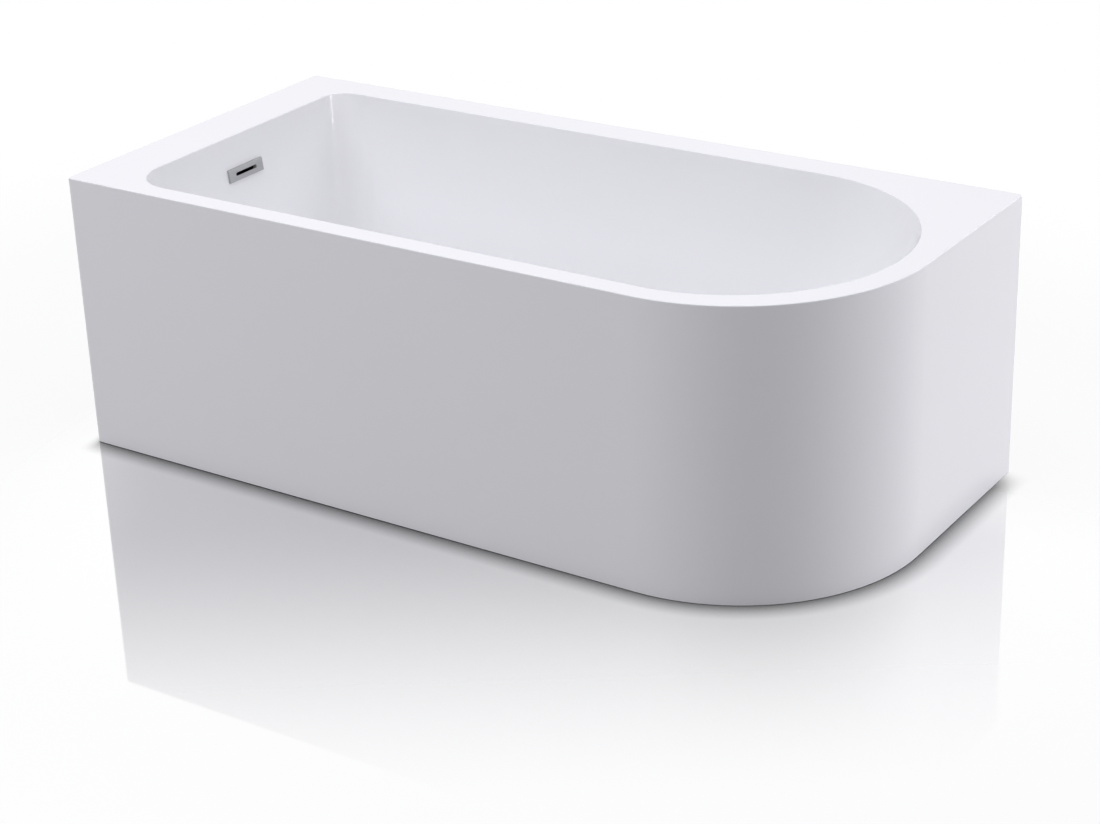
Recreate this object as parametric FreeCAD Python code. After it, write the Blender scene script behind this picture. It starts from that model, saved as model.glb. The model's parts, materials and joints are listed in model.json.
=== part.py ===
import FreeCAD
import Part

import math
import os

from FreeCAD import Vector

# A back-to-wall corner bathtub in white acrylic, in millimetres.
# +X runs along the tub to its round end, +Y to the long wall, +Z up.
# The origin lies on the floor, under the middle of the overall box.
# The tap end (-X) and the long back side (+Y) stand against walls and are open there.

# Overall box and plan
LENGTH = 1700.0
WIDTH = 800.0
HEIGHT = 580.0
ROUND_CORNER_RADIUS = 380.0
SQUARE_CORNER_RADIUS = 8.0

# Rim deck
RIM_TAP_END = 119.0
RIM_ROUND_END = 51.0
RIM_FRONT = 46.0
RIM_BACK = 72.0
RIM_THICKNESS = 8.0
RIM_OUTER_EDGE_RADIUS = 2.0
RIM_INNER_EDGE_RADIUS = 2.0
WALL_LIP_DROP = 30.0
WALL_LIP_THICKNESS = 6.0

# Basin, with the slope of each wall from the vertical
FLOOR_HEIGHT = 155.0
TAP_END_SLOPE = 8.0
SIDE_SLOPE = 6.5
LOUNGE_SLOPE = 24.0
FRONT_RIM_CORNER_RADIUS = 92.0
BACK_RIM_CORNER_RADIUS = 48.0
FLOOR_CORNER_RADIUS = 115.0
FLOOR_FILLET = 80.0
SHELL_WALL = 5.0
BOND_LINE = 0.3
LAMINATE_WALL = 4.0

# Apron on the two open sides
APRON_WALL = 6.0
APRON_FLOOR_GAP = 1.0
APRON_RETURN = 60.0
APRON_FLANGE_DEPTH = 24.0
APRON_FLANGE_THICKNESS = 6.0
LIP_GAP = 2.0

# Base board bonded under the floor
BOARD_THICKNESS = 16.0
BOARD_FROM_TAP_END = 250.0
BOARD_FROM_ROUND_END = 470.0
BOARD_HALF_WIDTH = 205.0
BOARD_CORNER_RADIUS = 40.0
BOARD_SLOT_WIDTH = 140.0
BOARD_SLOT_END_MARGIN = 75.0

# Steel frame of square tube
TUBE = 25.0
TUBE_WALL = 2.0
TUBE_CORNER_RADIUS = 3.0
RAIL_OFFSET = 168.0
LEFT_BAR_FROM_TAP_END = 45.0
MIDDLE_BAR_FROM_TAP_END = 700.0
RIGHT_BAR_FROM_ROUND_END = 310.0
FRAME_CLEARANCE = 12.0
CAP_TO_BOLT = 2.0
END_CAP_FLANGE = 3.0
END_CAP_PLUG = 12.0
PLUG_CLEARANCE = 0.2

# Brackets from the frame to the apron
BRACKET_THICKNESS = 3.0
BRACKET_WIDTH = 40.0
BRACKET_FOOT = 52.0
BRACKET_RISE = 46.0

# Bolts and screws
FRAME_BOLT_RADIUS = 4.0
FRAME_BOLT_HEAD = 13.0
FRAME_BOLT_HEAD_HEIGHT = 5.3
FRAME_BOLT_REACH = 8.0
SCREW_RADIUS = 2.4
SCREW_HEAD_RADIUS = 5.0
SCREW_HEAD_HEIGHT = 3.0
SCREW_BITE = 12.0
BOARD_SCREW_INSET = 70.0
BRACKET_BOLT_RADIUS = 3.0
BRACKET_BOLT_INSET = 36.0
HOLE_CLEARANCE = 0.2

# Levelling feet
FOOT_CLEARANCE = 10.0
PAD_RADIUS = 30.0
PAD_BASE = 5.0
PAD_NECK_RADIUS = 13.0
PAD_HEIGHT = 22.0
PAD_SOCKET_DEPTH = 14.0
STUD_RADIUS = 6.0
STUD_TOP_MARGIN = 34.0
JOURNAL_RADIUS = 5.0
RUNNING_GAP = 0.05
SEAT_GAP = 0.3
COLLAR_ACROSS_FLATS = 17.0
COLLAR_HEIGHT = 8.0
NUT_ACROSS_FLATS = 18.0
WELD_NUT_HEIGHT = 10.0
LOCK_NUT_HEIGHT = 7.0

# Drain in the floor
DRAIN_FROM_TAP_END = 350.0
DRAIN_WELL_RADIUS = 41.0
DRAIN_WELL_DEPTH = 4.0
DRAIN_HOLE_RADIUS = 26.0
DRAIN_BOSS_RADIUS = 50.0
FLANGE_RADIUS = 37.0
FLANGE_THICKNESS = 3.0
FLANGE_BORE = 21.0
SPIGOT_RADIUS = 24.0
SPIGOT_LENGTH = 15.0
GASKET_THICKNESS = 1.0
WASTE_GASKET_THICKNESS = 2.0

# Press-to-open plug
PLUG_RADIUS = 32.0
PLUG_EDGE = 3.0
PLUG_DOME = 3.0
PLUG_TRAVEL = 8.0
PLUG_SEAL_RADIUS = 27.0
PLUG_SEAL_BORE = 12.0
PLUG_SEAL_THICKNESS = 2.0
STEM_RADIUS = 5.0
PISTON_RADIUS = 7.5
PISTON_HEIGHT = 4.0
BARREL_RADIUS = 10.0
BARREL_BORE = 8.0
BARREL_BUSH = 6.0
BARREL_FLOOR = 2.0
BARREL_LENGTH = 38.0
SPIDER_ARMS = 3
SPIDER_ARM_WIDTH = 3.0
SPRING_WIRE_RADIUS = 0.6
SPRING_MEAN_RADIUS = 6.6
SPRING_TURNS = 6

# Waste body and trap under the floor
WASTE_FLANGE_RADIUS = 43.0
WASTE_FLANGE_THICKNESS = 4.0
WASTE_RADIUS = 30.0
WASTE_LENGTH = 46.0
WASTE_BORE = 27.0
DIP_RADIUS = 20.0
DIP_WALL = 2.0
DIP_FLOOR_GAP = 10.0
INLET_BELOW_FLANGE = 19.0
TRAP_FLOOR_GAP = 4.0
TRAP_RADIUS = 48.0
TRAP_WALL = 2.5
TRAP_NECK_RADIUS = 36.0
TRAP_NECK_HEIGHT = 8.0
TRAP_SHOULDER = 3.0
TRAP_CORNER = 6.0
TRAP_NUT_RADIUS = 43.0
TRAP_NUT_HEIGHT = 13.5
TRAP_NUT_LIP = 3.0
TRAP_NUT_RIBS = 12
TRAP_NUT_RIB_RADIUS = 2.0
TRAP_SEAL_THICKNESS = 2.0
OUTLET_RADIUS = 20.0
OUTLET_WALL = 2.0
OUTLET_BELOW_RAIL = 22.7
OUTLET_REACH = 262.0
OUTLET_SPIGOT = 45.0
OUTLET_COLLAR = 4.0
OUTLET_COLLAR_RADIUS = 22.5
STUB_WALL = 3.0
STUB_LENGTH = 34.0
STUB_DEPTH = 24.0
OUTLET_NUT_RADIUS = 28.0
OUTLET_NUT_LENGTH = 18.0

# Overflow in the tap-end wall
OVERFLOW_BELOW_RIM = 79.0
COVER_WIDTH = 108.0
COVER_HEIGHT = 28.0
COVER_DEPTH = 4.6
COVER_WALL = 1.5
COVER_EDGE_RADIUS = 1.2
COVER_SLOT_WIDTH = 66.0
COVER_SLOT_HEIGHT = 7.0
OVERFLOW_PORT_WIDTH = 78.0
OVERFLOW_PORT_HEIGHT = 16.0
INNER_FRAME_DEPTH = 2.7
INNER_FRAME_MARGIN = 0.4
HOUSING_WIDTH = 118.0
HOUSING_HEIGHT = 44.0
HOUSING_DEPTH = 44.0
HOUSING_WALL = 3.0
HOUSING_FLANGE = 5.0
HOUSING_FLANGE_THICKNESS = 4.0
OVERFLOW_GASKET_THICKNESS = 2.0
OVERFLOW_SCREW_SPACING = 91.0
OVERFLOW_SCREW_HEAD_HEIGHT = 1.7

# Ribbed overflow hose and its clamps
HOSE_BORE = 15.0
HOSE_ROOT_RADIUS = 16.5
HOSE_CREST_RADIUS = 19.5
HOSE_CUFF_LENGTH = 40.0
HOSE_RIB_PITCH = 6.0
HOSE_BEND_RADIUS = 122.0
HOSE_END_GAP = 1.0
SPIGOT_WALL = 2.2
HOSE_SPIGOT_LENGTH = 26.0
CLAMP_WIDTH = 9.0
CLAMP_THICKNESS = 1.0
CLAMP_FROM_END = 12.0
CLAMP_SCREW_RADIUS = 3.5
CLAMP_SCREW_LENGTH = 14.0

# Levels and places worked out from the sizes above
X_TAP, X_ROUND = -LENGTH / 2, LENGTH / 2
Y_FRONT, Y_BACK = -WIDTH / 2, WIDTH / 2
DECK_BOTTOM = HEIGHT - RIM_THICKNESS
BASIN_DEPTH = HEIGHT - FLOOR_HEIGHT
BASIN_Y = (RIM_FRONT - RIM_BACK) / 2
LAMINATE_INSIDE = SHELL_WALL + BOND_LINE
LAMINATE_OUTSIDE = LAMINATE_INSIDE + LAMINATE_WALL
BOARD_TOP = FLOOR_HEIGHT - LAMINATE_OUTSIDE
RAIL_TOP = BOARD_TOP - BOARD_THICKNESS
CROSSBAR_TOP = RAIL_TOP - TUBE
CROSSBAR_BOTTOM = CROSSBAR_TOP - TUBE
CROSSBAR_X = {"left": X_TAP + LEFT_BAR_FROM_TAP_END, "middle": X_TAP + MIDDLE_BAR_FROM_TAP_END,
              "right": X_ROUND - RIGHT_BAR_FROM_ROUND_END}
BOARD_START, BOARD_END = X_TAP + BOARD_FROM_TAP_END, X_ROUND - BOARD_FROM_ROUND_END
DRAIN_X = X_TAP + DRAIN_FROM_TAP_END
OUTLET_HEIGHT = CROSSBAR_TOP - OUTLET_BELOW_RAIL - OUTLET_RADIUS
WELL_FLOOR = FLOOR_HEIGHT - DRAIN_WELL_DEPTH
BOSS_BOTTOM = WELL_FLOOR - SHELL_WALL
WASTE_TOP = BOSS_BOTTOM - WASTE_GASKET_THICKNESS
WASTE_BOTTOM = WASTE_TOP - WASTE_LENGTH
INLET_HEIGHT = WASTE_TOP - WASTE_FLANGE_THICKNESS - INLET_BELOW_FLANGE
FLANGE_BOTTOM = WELL_FLOOR + GASKET_THICKNESS
FLANGE_TOP = FLANGE_BOTTOM + FLANGE_THICKNESS
HOSE_SPIGOT_RADIUS = HOSE_BORE - BOND_LINE
TAP_END_LEAN = math.radians(TAP_END_SLOPE)


# Small shape makers


def rounded_outline(x0, x1, y0, y1, radii, z):
    """A flat closed outline with its own radius at the front-left, front-right, back-right and back-left corner."""
    corners = (Vector(x0, y0, z), Vector(x1, y0, z), Vector(x1, y1, z), Vector(x0, y1, z))
    along = (Vector(1, 0, 0), Vector(0, 1, 0), Vector(-1, 0, 0), Vector(0, -1, 0))
    edges = []
    for i, corner in enumerate(corners):
        ahead, radius = along[i], radii[i]
        came = along[i - 1]
        start, end = corner - came * radius, corner + ahead * radius
        middle = corner + (ahead - came) * radius * (1 - math.sqrt(0.5))
        edges.append(Part.Arc(start, middle, end).toShape())
        next_start = corners[(i + 1) % 4] - ahead * radii[(i + 1) % 4]
        if (next_start - end).Length > 1e-6:
            edges.append(Part.LineSegment(end, next_start).toShape())
    return Part.Wire(edges)


def prism(wire, height):
    """The upright solid over a flat outline."""
    return Part.Face(wire).extrude(Vector(0, 0, height))


def box(x0, x1, y0, y1, z0, z1):
    """A box between two corners."""
    return Part.makeBox(x1 - x0, y1 - y0, z1 - z0, Vector(x0, y0, z0))


def rod(radius, z0, z1, x=0.0, y=0.0):
    """An upright round bar."""
    return Part.makeCylinder(radius, z1 - z0, Vector(x, y, z0))


def turned(profile):
    """The solid that a closed profile of (radius, height) points makes round the Z axis."""
    points = [Vector(r, 0, z) for r, z in profile]
    return Part.Face(Part.makePolygon(points + points[:1])).revolve(Vector(), Vector(0, 0, 1), 360)


def ring(outer, inner, z0, z1):
    """A plain round ring about the Z axis."""
    return turned(((inner, z0), (outer, z0), (outer, z1), (inner, z1)))


def hexagon(across_flats, z0, z1):
    """An upright hexagonal bar about the Z axis."""
    radius = across_flats / math.sqrt(3)
    points = [Vector(radius * math.cos(math.radians(60 * i)), radius * math.sin(math.radians(60 * i)), z0)
              for i in range(7)]
    return Part.Face(Part.makePolygon(points)).extrude(Vector(0, 0, z1 - z0))


def hex_nut(across_flats, bore, z0, z1):
    """A hexagonal nut with chamfered corners, about the Z axis."""
    blank = hexagon(across_flats, z0, z1)
    corner, chamfer = across_flats / math.sqrt(3), (z1 - z0) * 0.12
    cone = turned(((0, z0), (corner - chamfer, z0), (corner, z0 + chamfer), (corner, z1 - chamfer),
                   (corner - chamfer, z1), (0, z1)))
    return blank.common(cone).cut(rod(bore, z0, z1))


def moved(shape, x=0.0, y=0.0, z=0.0):
    """A copy of a shape, shifted."""
    return shape.translated(Vector(x, y, z))


def joined(shapes):
    """One solid from shapes that meet, without the seams between them."""
    first, *others = shapes
    return first.fuse(others).removeSplitter() if others else first


def group(shapes):
    """Separate solids kept together in one node."""
    return Part.makeCompound(shapes)


# Plan of the tub: the rim's outer outline and the basin's outline at any height


def plan_outline(inset, z):
    """The tub's outer plan, drawn in by an inset: square at three corners, round at the fourth."""
    square = max(SQUARE_CORNER_RADIUS - inset, 0.5)
    radii = (square, ROUND_CORNER_RADIUS - inset, square, square)
    return rounded_outline(X_TAP + inset, X_ROUND - inset, Y_FRONT + inset, Y_BACK - inset, radii, z)


def plan_band(outer_inset, inner_inset, z0, z1):
    """The upright band between two insets of the plan."""
    outside = prism(plan_outline(outer_inset, z0), z1 - z0)
    return outside.cut(prism(plan_outline(inner_inset, z0), z1 - z0))


def wall_sides(margin):
    """The region along the two walls, starting a margin away from the corners where the apron returns."""
    reach = APRON_WALL + APRON_FLANGE_DEPTH + SQUARE_CORNER_RADIUS
    tap_end = box(X_TAP - 1, X_TAP + reach, Y_FRONT + margin, Y_BACK + 1, -1, HEIGHT + 1)
    back = box(X_TAP - 1, X_ROUND - margin, Y_BACK - reach, Y_BACK + 1, -1, HEIGHT + 1)
    return tap_end.fuse(back)


def basin_outline(z, grow):
    """The basin's inside at a height, grown outwards: rounded corners at the tap end, a half circle at the other."""
    drop = HEIGHT - z
    side = drop * math.tan(math.radians(SIDE_SLOPE)) - grow
    x0 = X_TAP + RIM_TAP_END + drop * math.tan(TAP_END_LEAN) - grow
    x1 = X_ROUND - RIM_ROUND_END - drop * math.tan(math.radians(LOUNGE_SLOPE)) + grow
    y0, y1 = Y_FRONT + RIM_FRONT + side, Y_BACK - RIM_BACK - side
    front_corner, back_corner = (rim + (FLOOR_CORNER_RADIUS - rim) * drop / BASIN_DEPTH + grow
                                 for rim in (FRONT_RIM_CORNER_RADIUS, BACK_RIM_CORNER_RADIUS))
    half = (y1 - y0) / 2
    return rounded_outline(x0, x1, y0, y1, (front_corner, half, half, back_corner), z)


def solid_between(lower, upper):
    """The solid between two like outlines: flat walls along their straight edges, ruled ones round the corners."""
    faces = [Part.Face(lower), Part.Face(upper)]
    for low, high in zip(lower.OrderedEdges, upper.OrderedEdges):
        if isinstance(low.Curve, Part.Line):
            corners = [v.Point for v in low.Vertexes] + [v.Point for v in reversed(high.Vertexes)]
            faces.append(Part.Face(Part.makePolygon(corners + corners[:1])))
        else:
            faces.append(Part.makeRuledSurface(low, high))
    skin = Part.makeCompound(faces)
    skin.sewShape()
    return Part.Solid(skin.Shells[0]).removeSplitter()


def basin_form(grow, top):
    """The basin's inside as a solid, grown outwards, with its floor edge rounded."""
    floor = FLOOR_HEIGHT - grow
    form = solid_between(basin_outline(floor, grow), basin_outline(top, grow))
    rim_of_floor = [e for e in form.Edges if e.BoundBox.ZMax < floor + 1e-3]
    return form.makeFillet(FLOOR_FILLET + grow, rim_of_floor)


def tap_wall_x(z):
    """Where the tap-end wall's inside stands at a height."""
    return X_TAP + RIM_TAP_END + (HEIGHT - z) * math.tan(TAP_END_LEAN)


def on_tap_wall(shape):
    """Sets a shape on the tap-end wall at the overflow: its X along the wall, Y up the wall, Z into the basin."""
    z = HEIGHT - OVERFLOW_BELOW_RIM
    lean, upright = math.sin(TAP_END_LEAN), math.cos(TAP_END_LEAN)
    place = FreeCAD.Matrix(0, -lean, upright, tap_wall_x(z), 1, 0, 0, BASIN_Y, 0, upright, lean, z, 0, 0, 0, 1)
    placed = shape.copy()
    placed.Placement = FreeCAD.Placement(place)
    return placed


def slot_prism(width, height, z0, z1):
    """A bar with round ends about the Z axis, its long side along X."""
    half, r = width / 2, height / 2
    return prism(rounded_outline(-half, half, -r, r, (r, r, r, r), z0), z1 - z0)


def plate_prism(width, height, radius, z0, z1):
    """A plate with rounded corners about the Z axis."""
    outline = rounded_outline(-width / 2, width / 2, -height / 2, height / 2, (radius,) * 4, z0)
    return prism(outline, z1 - z0)


# Basin shell, its laminate and the apron


def overflow_port(depth_in, depth_out):
    """The round-ended hole through the tap-end wall, from a depth behind the wall to one in front of it."""
    return on_tap_wall(slot_prism(OVERFLOW_PORT_WIDTH, OVERFLOW_PORT_HEIGHT, -depth_in, depth_out))


def overflow_screw_places():
    """The two screws that hold the overflow, at the ends of the port."""
    return [OVERFLOW_SCREW_SPACING * side / 2 for side in (-1, 1)]


def make_basin_shell():
    """The acrylic basin with its rim deck, the lip along the walls, the drain well and the overflow port."""
    deck = prism(plan_outline(0, DECK_BOTTOM), RIM_THICKNESS)
    lip = plan_band(0, WALL_LIP_THICKNESS, DECK_BOTTOM - WALL_LIP_DROP, DECK_BOTTOM)
    lip = lip.common(wall_sides(APRON_RETURN + LIP_GAP))
    bowl = basin_form(SHELL_WALL, DECK_BOTTOM + RIM_THICKNESS / 2)
    boss = rod(DRAIN_BOSS_RADIUS, BOSS_BOTTOM, FLOOR_HEIGHT - SHELL_WALL / 2, DRAIN_X, BASIN_Y)
    body = joined([deck, bowl, lip, boss])
    body = body.cut(basin_form(0, HEIGHT + RIM_THICKNESS))
    well = turned(((0, WELL_FLOOR), (DRAIN_WELL_RADIUS, WELL_FLOOR),
                   (DRAIN_WELL_RADIUS + DRAIN_WELL_DEPTH, FLOOR_HEIGHT), (0, FLOOR_HEIGHT)))
    body = body.cut(moved(well, DRAIN_X, BASIN_Y))
    body = body.cut(rod(DRAIN_HOLE_RADIUS, BOSS_BOTTOM, WELL_FLOOR, DRAIN_X, BASIN_Y)).removeSplitter()
    top = max((f for f in body.Faces if f.BoundBox.ZMin > HEIGHT - 1e-3), key=lambda f: f.Area)
    inner = [e for w in top.Wires if not w.isSame(top.OuterWire) for e in w.Edges]
    body = body.makeFillet(RIM_INNER_EDGE_RADIUS, inner)
    top = max((f for f in body.Faces if f.BoundBox.ZMin > HEIGHT - 1e-3), key=lambda f: f.Area)
    body = body.makeFillet(RIM_OUTER_EDGE_RADIUS, top.OuterWire.Edges)
    body = body.cut(overflow_port(3 * SHELL_WALL, 3 * SHELL_WALL))
    for x in overflow_screw_places():
        hole = rod(SCREW_RADIUS + HOLE_CLEARANCE, -3 * SHELL_WALL, 3 * SHELL_WALL, x)
        body = body.cut(on_tap_wall(hole))
    return body


def make_basin_laminate():
    """The glass-fibre laminate on the back of the basin, under the deck."""
    skin = basin_form(LAMINATE_OUTSIDE, DECK_BOTTOM).cut(basin_form(LAMINATE_INSIDE, DECK_BOTTOM))
    around_drain = rod(DRAIN_BOSS_RADIUS + BOND_LINE, 0, FLOOR_HEIGHT, DRAIN_X, BASIN_Y)
    skin = skin.cut(around_drain).cut(overflow_port(6 * SHELL_WALL, 3 * SHELL_WALL))
    for x in overflow_screw_places():
        hole = rod(SCREW_RADIUS + HOLE_CLEARANCE, -6 * SHELL_WALL, 3 * SHELL_WALL, x)
        skin = skin.cut(on_tap_wall(hole))
    return skin


def make_apron():
    """The outer skirt: front, round corner and round end, with flanges at top and bottom and returns at the walls."""
    wall = plan_band(0, APRON_WALL, APRON_FLOOR_GAP, DECK_BOTTOM)
    flange_inset = APRON_WALL + APRON_FLANGE_DEPTH
    upper = plan_band(APRON_WALL / 2, flange_inset, DECK_BOTTOM - APRON_FLANGE_THICKNESS, DECK_BOTTOM)
    lower = plan_band(APRON_WALL / 2, flange_inset, APRON_FLOOR_GAP, APRON_FLOOR_GAP + APRON_FLANGE_THICKNESS)
    return joined([wall, upper, lower]).cut(wall_sides(APRON_RETURN)).removeSplitter()


# Base board and steel frame


def rail_y(side):
    """The middle line of the front (-1) or back (+1) rail."""
    return BASIN_Y + side * RAIL_OFFSET


def lost_to_round_corner(beyond_centre):
    """How far the apron's inside draws in at a distance past the start of its round corner."""
    inner_radius = ROUND_CORNER_RADIUS - APRON_WALL
    return inner_radius - math.sqrt(inner_radius ** 2 - max(beyond_centre, 0.0) ** 2)


def rail_ends(side):
    """Where a rail starts and ends along X: it stops short of the apron's inside."""
    start = CROSSBAR_X["left"] - FRAME_BOLT_RADIUS - CAP_TO_BOLT - END_CAP_PLUG
    beyond_centre = Y_FRONT + ROUND_CORNER_RADIUS - (rail_y(side) - TUBE / 2)
    return start, X_ROUND - APRON_WALL - lost_to_round_corner(beyond_centre) - FRAME_CLEARANCE


def crossbar_ends(x):
    """Where a crossbar starts and ends along Y: it stops short of the apron's inside and of the wall lip."""
    beyond_centre = x + TUBE / 2 - (X_ROUND - ROUND_CORNER_RADIUS)
    start = Y_FRONT + APRON_WALL + lost_to_round_corner(beyond_centre) + FRAME_CLEARANCE
    return start, Y_BACK - WALL_LIP_THICKNESS - FRAME_CLEARANCE


def frame_joints():
    """The places where rails cross crossbars."""
    return [(x, rail_y(side)) for x in CROSSBAR_X.values() for side in (-1, 1)]


def board_screw_rows():
    """Where along X the board screws lie: near the board's ends and between two crossbars."""
    first, last = BOARD_START + BOARD_SCREW_INSET, BOARD_END - BOARD_SCREW_INSET
    return first, (CROSSBAR_X["middle"] + last) / 2, last


def board_screw_places():
    """The screws that hold the rails to the base board."""
    return [(x, rail_y(side)) for x in board_screw_rows() for side in (-1, 1)]


def foot_places():
    """The six feet, two to each crossbar."""
    inset = APRON_RETURN + FOOT_CLEARANCE + PAD_RADIUS
    return [(x, y) for x in CROSSBAR_X.values() for y in (Y_FRONT + inset, Y_BACK - inset)]


def front_bracket_places():
    """The crossbars whose front end faces the straight part of the apron."""
    straight_end = X_ROUND - ROUND_CORNER_RADIUS
    return [x for x in CROSSBAR_X.values() if x + BRACKET_WIDTH / 2 < straight_end]


def make_base_board():
    """The stiffening board under the floor, slotted round the waste."""
    y0, y1 = BASIN_Y - BOARD_HALF_WIDTH, BASIN_Y + BOARD_HALF_WIDTH
    outline = rounded_outline(BOARD_START, BOARD_END, y0, y1, (BOARD_CORNER_RADIUS,) * 4, RAIL_TOP)
    board = prism(outline, BOARD_THICKNESS)
    half = BOARD_SLOT_WIDTH / 2
    slot_end = DRAIN_X + BOARD_SLOT_END_MARGIN
    slot = rounded_outline(BOARD_START - half, slot_end, BASIN_Y - half, BASIN_Y + half, (1, half, half, 1),
                           RAIL_TOP)
    board = board.cut(prism(slot, BOARD_THICKNESS))
    for x, y in board_screw_places():
        board = board.cut(rod(SCREW_RADIUS, RAIL_TOP, RAIL_TOP + SCREW_BITE, x, y))
    return board


def square_tube(length):
    """A square tube with rounded corners, along +Z from the origin."""
    bore = TUBE - 2 * TUBE_WALL
    outside = plate_prism(TUBE, TUBE, TUBE_CORNER_RADIUS, 0, length)
    return outside.cut(plate_prism(bore, bore, TUBE_CORNER_RADIUS - TUBE_WALL, 0, length))


def tube_along_x(x0, x1, y, z0):
    """A square tube along X, its bottom at a height."""
    lying = square_tube(x1 - x0).rotated(Vector(), Vector(0, 1, 0), 90)
    return moved(lying, x0, y, z0 + TUBE / 2)


def tube_along_y(x, y0, y1, z0):
    """A square tube along Y, its bottom at a height."""
    lying = square_tube(y1 - y0).rotated(Vector(), Vector(1, 0, 0), -90)
    return moved(lying, x, y0, z0 + TUBE / 2)


def make_rail(side):
    """One long rail, drilled for the frame bolts, the board screws and, at the back, its bracket."""
    start, end = rail_ends(side)
    y = rail_y(side)
    rail = tube_along_x(start, end, y, CROSSBAR_TOP)
    for x in CROSSBAR_X.values():
        rail = rail.cut(rod(FRAME_BOLT_RADIUS + HOLE_CLEARANCE, CROSSBAR_TOP, CROSSBAR_TOP + TUBE_WALL, x, y))
    for x in board_screw_rows():
        rail = rail.cut(rod(SCREW_RADIUS + HOLE_CLEARANCE, CROSSBAR_TOP, RAIL_TOP, x, y))
    if side > 0:
        x = X_ROUND - APRON_WALL - BRACKET_BOLT_INSET
        rail = rail.cut(rod(BRACKET_BOLT_RADIUS + HOLE_CLEARANCE, RAIL_TOP - TUBE_WALL, RAIL_TOP, x, y))
    return rail


def make_crossbar(name):
    """One crossbar, drilled for its two feet, the frame bolts and any front bracket."""
    x = CROSSBAR_X[name]
    y0, y1 = crossbar_ends(x)
    bar = tube_along_y(x, y0, y1, CROSSBAR_BOTTOM)
    for foot_x, foot_y in foot_places():
        if foot_x == x:
            bar = bar.cut(rod(STUD_RADIUS + 2 * HOLE_CLEARANCE, CROSSBAR_BOTTOM, CROSSBAR_TOP, x, foot_y))
    for side in (-1, 1):
        hole = rod(FRAME_BOLT_RADIUS + HOLE_CLEARANCE, CROSSBAR_BOTTOM, CROSSBAR_TOP, x, rail_y(side))
        bar = bar.cut(hole)
    if x in front_bracket_places():
        y = Y_FRONT + APRON_WALL + BRACKET_BOLT_INSET
        hole = rod(BRACKET_BOLT_RADIUS + HOLE_CLEARANCE, CROSSBAR_TOP - TUBE_WALL, CROSSBAR_TOP, x, y)
        bar = bar.cut(hole)
    return bar


def end_cap():
    """A plastic tube cap that faces +X, its flange's inner face at the origin."""
    plug = TUBE - 2 * (TUBE_WALL + PLUG_CLEARANCE)
    flange = plate_prism(TUBE, TUBE, TUBE_CORNER_RADIUS, 0, END_CAP_FLANGE)
    outer_edges = [e for e in flange.Edges if e.BoundBox.ZMin > END_CAP_FLANGE - 1e-6]
    flange = flange.makeFillet(END_CAP_FLANGE / 2, outer_edges)
    cap = joined([flange, plate_prism(plug, plug, TUBE_CORNER_RADIUS - TUBE_WALL, -END_CAP_PLUG, END_CAP_FLANGE / 2)])
    return cap.rotated(Vector(), Vector(0, 1, 0), 90)


def make_tube_end_caps():
    """The caps in all ten open tube ends."""
    caps = []
    for side in (-1, 1):
        for x, turn in zip(rail_ends(side), (180, 0)):
            cap = end_cap().rotated(Vector(), Vector(0, 0, 1), turn)
            caps.append(moved(cap, x, rail_y(side), CROSSBAR_TOP + TUBE / 2))
    for x in CROSSBAR_X.values():
        for y, turn in zip(crossbar_ends(x), (-90, 90)):
            cap = end_cap().rotated(Vector(), Vector(0, 0, 1), turn)
            caps.append(moved(cap, x, y, CROSSBAR_BOTTOM + TUBE / 2))
    return group(caps)


def make_frame_bolts():
    """The bolts that come up through the crossbars into the rails."""
    head = hexagon(FRAME_BOLT_HEAD, CROSSBAR_BOTTOM - FRAME_BOLT_HEAD_HEIGHT, CROSSBAR_BOTTOM)
    shank = rod(FRAME_BOLT_RADIUS, CROSSBAR_BOTTOM - 1, CROSSBAR_TOP + FRAME_BOLT_REACH)
    bolt = joined([head, shank])
    return group([moved(bolt, x, y) for x, y in frame_joints()])


def screw(shank_radius, length, head_height=SCREW_HEAD_HEIGHT):
    """A pan-head screw along +Z, the seat of its head at the origin."""
    head = turned(((0, -head_height), (SCREW_HEAD_RADIUS * 0.7, -head_height),
                   (SCREW_HEAD_RADIUS, -head_height * 0.5), (SCREW_HEAD_RADIUS, 0), (0, 0)))
    return joined([head, rod(shank_radius, -head_height / 2, length)])


def make_board_screws():
    """The screws that come up through the rails into the board."""
    one = screw(SCREW_RADIUS, TUBE + SCREW_BITE)
    return group([moved(one, x, y, CROSSBAR_TOP) for x, y in board_screw_places()])


def bracket():
    """An angle bracket that faces +X: its upright face at the origin, its foot running back along -X."""
    half = BRACKET_WIDTH / 2
    foot = box(-BRACKET_FOOT, 0, -half, half, 0, BRACKET_THICKNESS)
    rise = box(-BRACKET_THICKNESS, 0, -half, half, 0, BRACKET_RISE)
    hole = rod(BRACKET_BOLT_RADIUS + HOLE_CLEARANCE, 0, BRACKET_THICKNESS, -BRACKET_BOLT_INSET)
    return joined([foot, rise]).cut(hole)


def bracket_placements():
    """Each bracket's place and its turn about Z."""
    front = [(x, Y_FRONT + APRON_WALL, CROSSBAR_TOP, -90) for x in front_bracket_places()]
    return front + [(X_ROUND - APRON_WALL, rail_y(1), RAIL_TOP, 0)]


def make_apron_brackets():
    """The brackets that hold the apron's inside face to the frame."""
    return group([moved(bracket().rotated(Vector(), Vector(0, 0, 1), turn), x, y, z)
                  for x, y, z, turn in bracket_placements()])


def make_bracket_bolts():
    """The bolts that hold the brackets down on the tubes."""
    down = screw(BRACKET_BOLT_RADIUS, BRACKET_THICKNESS + 2 * TUBE_WALL).rotated(Vector(), Vector(1, 0, 0), 180)
    down = moved(down, -BRACKET_BOLT_INSET, 0, BRACKET_THICKNESS)
    return group([moved(down.rotated(Vector(), Vector(0, 0, 1), turn), x, y, z)
                  for x, y, z, turn in bracket_placements()])


# Levelling feet


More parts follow.
